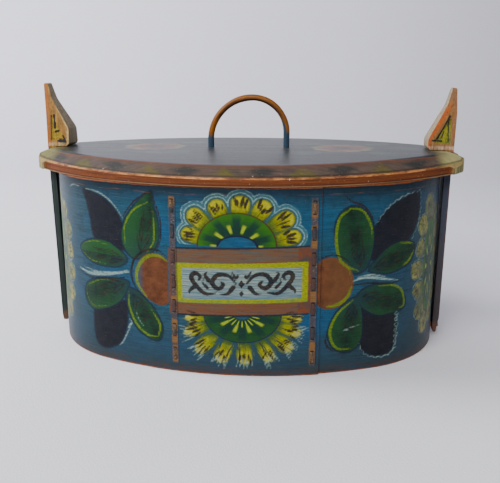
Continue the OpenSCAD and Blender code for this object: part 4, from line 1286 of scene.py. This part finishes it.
# ---------------------------------------------------------------- the spring posts
LEFT_POST = SimpleNamespace(
    hand=-1, head_h=61.0, stem=tint(20, 32, 29), outer=tint(18, 22, 21),
    edge_share=0.35, foot_share=0.2, brown_share=0.0,      # outer edge, foot and browned stem
    ochre=tint(174, 130, 56), blotch=tint(144, 82, 34), top_share=0.1, back_x=192.4, back=tint(150, 84, 26),
    nose=(175.4, (18.0, 0.5), (50.0, -0.2)), rim=tint(190, 160, 104),
    lime=(tint(118, 96, 6), tint(188, 162, 26)), lime_blot=tint(92, 74, 16), lime_share=0.8,
    mottle_share=0.6, hook=tint(190, 166, 124), cut_wider=0.35,
    cuts=(((189.8, 0.50), (190.0, 0.30), 0.8), ((189.6, 0.235), (186.2, 0.25), 0.7),
          ((181.5, 0.17), (178.5, 0.07), 0.9), ((184.6, 0.10), (180.5, 0.08), 1.5)))
RIGHT_POST = SimpleNamespace(
    hand=1, head_h=57.5, stem=tint(46, 50, 66), outer=tint(92, 54, 40),
    edge_share=0.8, foot_share=0.85, brown_share=0.75,
    ochre=tint(150, 110, 56), blotch=tint(104, 76, 54), top_share=0.6, back_x=191.4, back=tint(128, 84, 52),
    nose=(171.4, (9.0, 0.72), (20.0, -0.17), (40.0, -0.21)), rim=tint(160, 74, 12),
    lime=(tint(84, 84, 4), tint(152, 146, 10)), lime_blot=tint(58, 78, 12), lime_share=1.0,
    mottle_share=0.75, hook=tint(196, 166, 148), cut_wider=0.1,
    cuts=(((190.6, 0.55), (180.0, 0.19), 0.8), ((175.5, 0.165), (184.0, 0.15), 0.7),
          ((189.9, 0.50), (190.1, 0.14), 0.45), ((186.0, 0.30), (183.5, 0.20), 0.5)))


def spring_post(name, node, body, finish):
    """A copy of the post's solid with its loose triangles merged and its edges eased, as a knife leaves
    them. Its peg holes are made a little taller, so that the post can lean out on its pegs."""
    piece = add_object(name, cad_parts[node].data.copy())
    bm = bmesh.new()
    bm.from_mesh(piece.data)
    bmesh.ops.remove_doubles(bm, verts=bm.verts, dist=2e-6)
    bmesh.ops.dissolve_limit(bm, angle_limit=np.radians(1.0), verts=bm.verts, edges=bm.edges)
    bmesh.ops.recalc_face_normals(bm, faces=bm.faces)
    for vert in bm.verts:
        up, side = vert.co.z / MM - POST_PEG_Z, abs(vert.co.y / MM) - POST_PEG_Y
        if abs(np.hypot(up, side) - POST_HOLE_R) < 0.1:
            vert.co.z += up * (POST_HOLE_TALL / POST_HOLE_R - 1) * MM
    for face in bm.faces:
        face.smooth = True
    bm.to_mesh(piece.data)
    bm.free()
    for layer in list(piece.data.uv_layers):
        piece.data.uv_layers.remove(layer)
    ease = piece.modifiers.new("eased_edges", "BEVEL")
    ease.width, ease.segments, ease.limit_method = 0.8 * MM, 3, "ANGLE"
    ease.angle_limit, ease.harden_normals = np.radians(28.0), True
    piece.data.materials.clear()
    piece.data.materials.append(finish)
    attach(piece, body)
    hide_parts(node)


def post_finish(name, post):
    """Spring post: dark paint below the lid, head of worn ochre wood with grey inner face and a yellow-green
    carved triangle with painted shade along its cuts."""
    f = Finish(name, Specular_IOR_Level=0.2)
    x, y, z = f.place()
    nx, ny, nz = f.place("Normal")
    out = x * float(post.hand)                   # mm outwards from the middle of the box
    h = z - LID_TOP                              # mm up the head
    grain = f.noise(out * 0.5, y * 0.5, z * 0.03, detail=5, rough=0.65)
    blot = f.noise(x * 0.12, y * 0.12, z * 0.09, detail=4, rough=0.6)
    fine = f.noise(x * 0.9, y * 0.9, z * 0.5, detail=3)
    wob = (f.noise(x * 0.4, y * 0.4, z * 0.4 + 5, detail=3) - 0.5) * 2.0
    mottle = f.noise(x * 0.7, y * 0.7, z * 0.4 + 9, detail=4, rough=0.75)

    outer = f.coats(f.mix(grain.steep(3.0, 1.1), post.outer, f.mix(0.5, post.outer, post.stem)),
                    (blot.steep(4.0, 2.3) * 0.7, tint(24, 24, 28)))
    outer_edge = (out - 189.6 + wob * 0.4 - (z - 6.0) * 0.017).rise(0.0, 0.8)
    stem = f.coats(f.mix(grain.steep(2.0, 0.5), post.stem, f.mix(0.25, post.stem, tint(80, 86, 84))),
                   ((nx * float(post.hand)).rise(0.4, 0.8), outer),
                   (outer_edge * post.edge_share, post.outer),
                   ((z - 16.0 + wob * 3.0).within(5.0) * post.foot_share, tint(150, 88, 46)),
                   ((z + wob * 6.0).rise(130.0, 60.0) * post.brown_share, tint(58, 50, 48)))

    face = f.coats(f.mix(grain.steep(2.4, 0.7), tint(92, 60, 20), post.ochre),
                   (blot.steep(2.6, 1.2) * 0.5, post.blotch))
    inner = f.coats(f.mix(grain.steep(2.6, 0.8), tint(98, 84, 60), tint(172, 152, 116)),
                    (f.noise(y * 0.9, z * 0.9, 3, detail=2).steep(6.0, 3.1) * 0.5, tint(186, 180, 160)))
    lime = f.coats(f.mix(fine.steep(2.8, 0.9), *post.lime), (blot.steep(3.0, 1.3) * 0.7, post.lime_blot))
    slope = (nx * float(-post.hand)).rise(0.35, 0.62) * h.rise(0.0, 3.0)   # the inner face of the head
    front = abs(ny).rise(0.55, 0.8)
    behind = front * (out - (h * 0.055 + post.back_x) + wob * 0.6).rise(-0.4, 0.6)
    nose = post.nose[0]                          # outline of the head's inner side, bent at some heights
    for bend_h, bend in post.nose[1:]:
        nose = (h - bend_h).high(0.0) * bend + nose
    rim = (out - nose - 2.0 + wob * 1.4).within(1.3) * front * h.rise(1.0, 3.0) * (h - 42.0).within(10.0)
    half = 14.5 - h * (9.0 / post.head_h)
    bed = ((half - abs(y) - 0.9).rise(0.0, 0.6) * (1.0 - slope) * (h - 0.56 * post.head_h - 2.0).within(1.0)
           * (h > 4.5) * (abs(ny) > 0.2))
    colour = f.coats(face, (slope, inner),
                     ((1.0 - slope) * h.rise(34.0, 50.0) * post.top_share, tint(112, 80, 58)),
                     (behind * 0.8, post.back),
                     (rim * 0.9, post.rim),
                     (bed * post.lime_share, lime),
                     (mottle.steep(6.0, 3.1) * post.mottle_share, tint(60, 44, 26)),
                     (mottle.steep(-6.0, -2.4) * 0.5, tint(206, 184, 134)))

    # painted shade in the incised cuts, each from one (mm outwards, share of the head's height) to another
    for (ax, ah), (bx, bh), wide in post.cuts:
        px, pz = out - ax, h - ah * post.head_h
        qx, qz = bx - ax, (bh - ah) * post.head_h
        along = ((px * qx + pz * qz) / (qx * qx + qz * qz)).clip()
        ex, ez = px - along * qx, pz - along * qz
        far = (ex * ex + ez * ez).root()
        cut = (far - wide - post.cut_wider + wob * 0.45).within(0.7) * front.high(bed)
        colour = f.mix(cut, colour, tint(26, 22, 20))
    pale_foot = front * (abs(h - 2.6) - 1.6 + wob * 0.5).within(1.2) * grain.steep(3.0, 1.0)
    colour = f.coats(colour, (pale_foot * 0.8, post.hook),
                     # painted shade under the hook
                     ((-nz).rise(0.6, 0.9) * (h < 3.0), tint(84, 30, 24)),   # under the hook
                     ((h + 1.5 + wob * 2.5).within(2.5), stem))
    rough = 0.5 + (fine - 0.5) * 0.2 + h.rise(0.0, 4.0) * 0.06
    return f.done(colour, rough, grain * 0.7 + fine * 0.3 + blot * 0.4, 0.28)


# ---------------------------------------------------------------- plain wood
def wood_finish(name, light, dark):
    """Planed or whittled wood with long grain."""
    f = Finish(name, Specular_IOR_Level=0.35)
    x, y, z = f.place()
    rings = f.noise(x * 0.012, y * 0.22, z * 0.5, detail=5, rough=0.65)
    fine = f.noise(x * 0.15, y * 1.4, z * 1.4, detail=3)
    colour = f.coats(f.mix(rings.steep(2.2, 0.6), dark, light), (fine.steep(3.0, 1.6) * 0.4, dark))
    return f.done(colour, 0.6 + fine * 0.15, rings * 0.6 + fine * 0.5, 0.2)


def dress_plain_nodes():
    """The solids whose shape is right keep it and get their wood."""
    board = wood_finish("bottom_wood", tint(176, 134, 88), tint(128, 90, 54))
    pegs = wood_finish("peg_wood", tint(150, 104, 62), tint(98, 62, 36))
    for node, finish in (("bottom_board", board), ("bottom_pegs", pegs), ("left_post_pegs", pegs),
                         ("right_post_pegs", pegs), ("handle_wedges", pegs)):
        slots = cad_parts[node].data.materials
        slots.clear()
        slots.append(finish)


# ---------------------------------------------------------------- room, light, camera
def backdrop():
    """Pale floor that sweeps up behind: straight, a quarter round, straight up."""
    a = np.linspace(0, np.pi / 2, 24)
    y = np.concatenate([[-3.0], 1.1 + 0.9 * np.sin(a), [2.0]])
    z = np.concatenate([[0.0], 0.9 - 0.9 * np.cos(a), [4.0]])
    x = np.array([-4.0, 4.0])
    points = np.stack([np.repeat(x, len(y)), np.tile(y, 2), np.tile(z, 2)], 1)
    mesh = bpy.data.meshes.new("floor_sweep")
    m = len(y)
    mesh.from_pydata(points.tolist(), [], [(i, i + m, i + m + 1, i + 1) for i in range(m - 1)])
    sweep = add_object("floor_sweep", mesh)
    for p in mesh.polygons:
        p.use_smooth = True
    f = Finish("pale_cloth", Specular_IOR_Level=0.15)
    px, py, pz = f.place()
    weave = f.noise(px * 0.6, py * 0.6, pz * 0.6, detail=3)
    # crease gives painted light and shade of soft creases in the cloth, which the mesh doesn't have
    crease = f.noise(px * 0.006, py * 0.006, pz * 0.006, detail=2)
    colour = f.coats(f.mix(weave * 0.5 + crease * 0.5, tint(231, 231, 241), tint(244, 244, 251)),
                     # painted shade: the sweep darker towards the back and to the right
                     (py.rise(400.0, 1500.0) * 0.6, tint(216, 216, 227)),
                     (px.rise(150.0, 1100.0) * 0.8, tint(198, 197, 205)))
    mesh.materials.append(f.done(colour, 0.9, weave, 0.3))


def add_aimed(name, data, place, aim):
    """A lamp or camera at a place in metres, turned to its aim."""
    thing = add_object(name, data)
    thing.location = place
    thing.rotation_mode = "QUATERNION"
    thing.rotation_quaternion = (Vector(aim) - Vector(place)).to_track_quat("-Z", "Y")
    return thing


def add_light(name, place, aim, size, power, colour):
    """A soft oblong lamp."""
    data = bpy.data.lights.new(name, "AREA")
    data.shape, data.size, data.size_y = "RECTANGLE", size[0], size[1]
    data.energy, data.color = power, colour
    add_aimed(name, data, place, aim)


def studio():
    """Soft light from the left, from over the camera and a little from the right, and the camera where
    the photograph's was."""
    add_light("window_left", (-1.8, 0.2, 1.3), (-0.5, 1.5, 0.3), (1.4, 1.4), 68, (0.98, 0.98, 1))
    add_light("room_front", (-0.7, -2.2, 1.6), (-0.1, 0.3, 0.0), (2.4, 1.0), 88, (1, 0.99, 0.98))
    add_light("room_right", (1.8, -0.9, 1.1), (0, 0, 0.1), (1.0, 1.2), 5, (1, 0.99, 0.97))
    world = bpy.data.worlds.new("room")
    world.use_nodes = True
    world.node_tree.nodes["Background"].inputs[0].default_value = tint(226, 226, 234)
    world.node_tree.nodes["Background"].inputs[1].default_value = 0.2
    bpy.context.scene.world = world
    data = bpy.data.cameras.new("photo_view")
    data.sensor_width, data.lens = 36.0, 50.4
    data.clip_start, data.clip_end = 0.02, 20
    bpy.context.scene.camera = add_aimed("photo_view", data, (0.0670, -0.6854, 0.2620), (0.0024, 0, 0.0891))


painted_side()
root_lacing("left_root", "left_lacing", SEAMS[0])
root_lacing("right_root", "right_lacing", SEAMS[1])
painted_lid()
bow_rod()
spring_post("left_spring_post", "left_post", "left_spring", post_finish("left_post_paint", LEFT_POST))
spring_post("right_spring_post", "right_post", "right_spring", post_finish("right_post_paint", RIGHT_POST))
dress_plain_nodes()
backdrop()
studio()
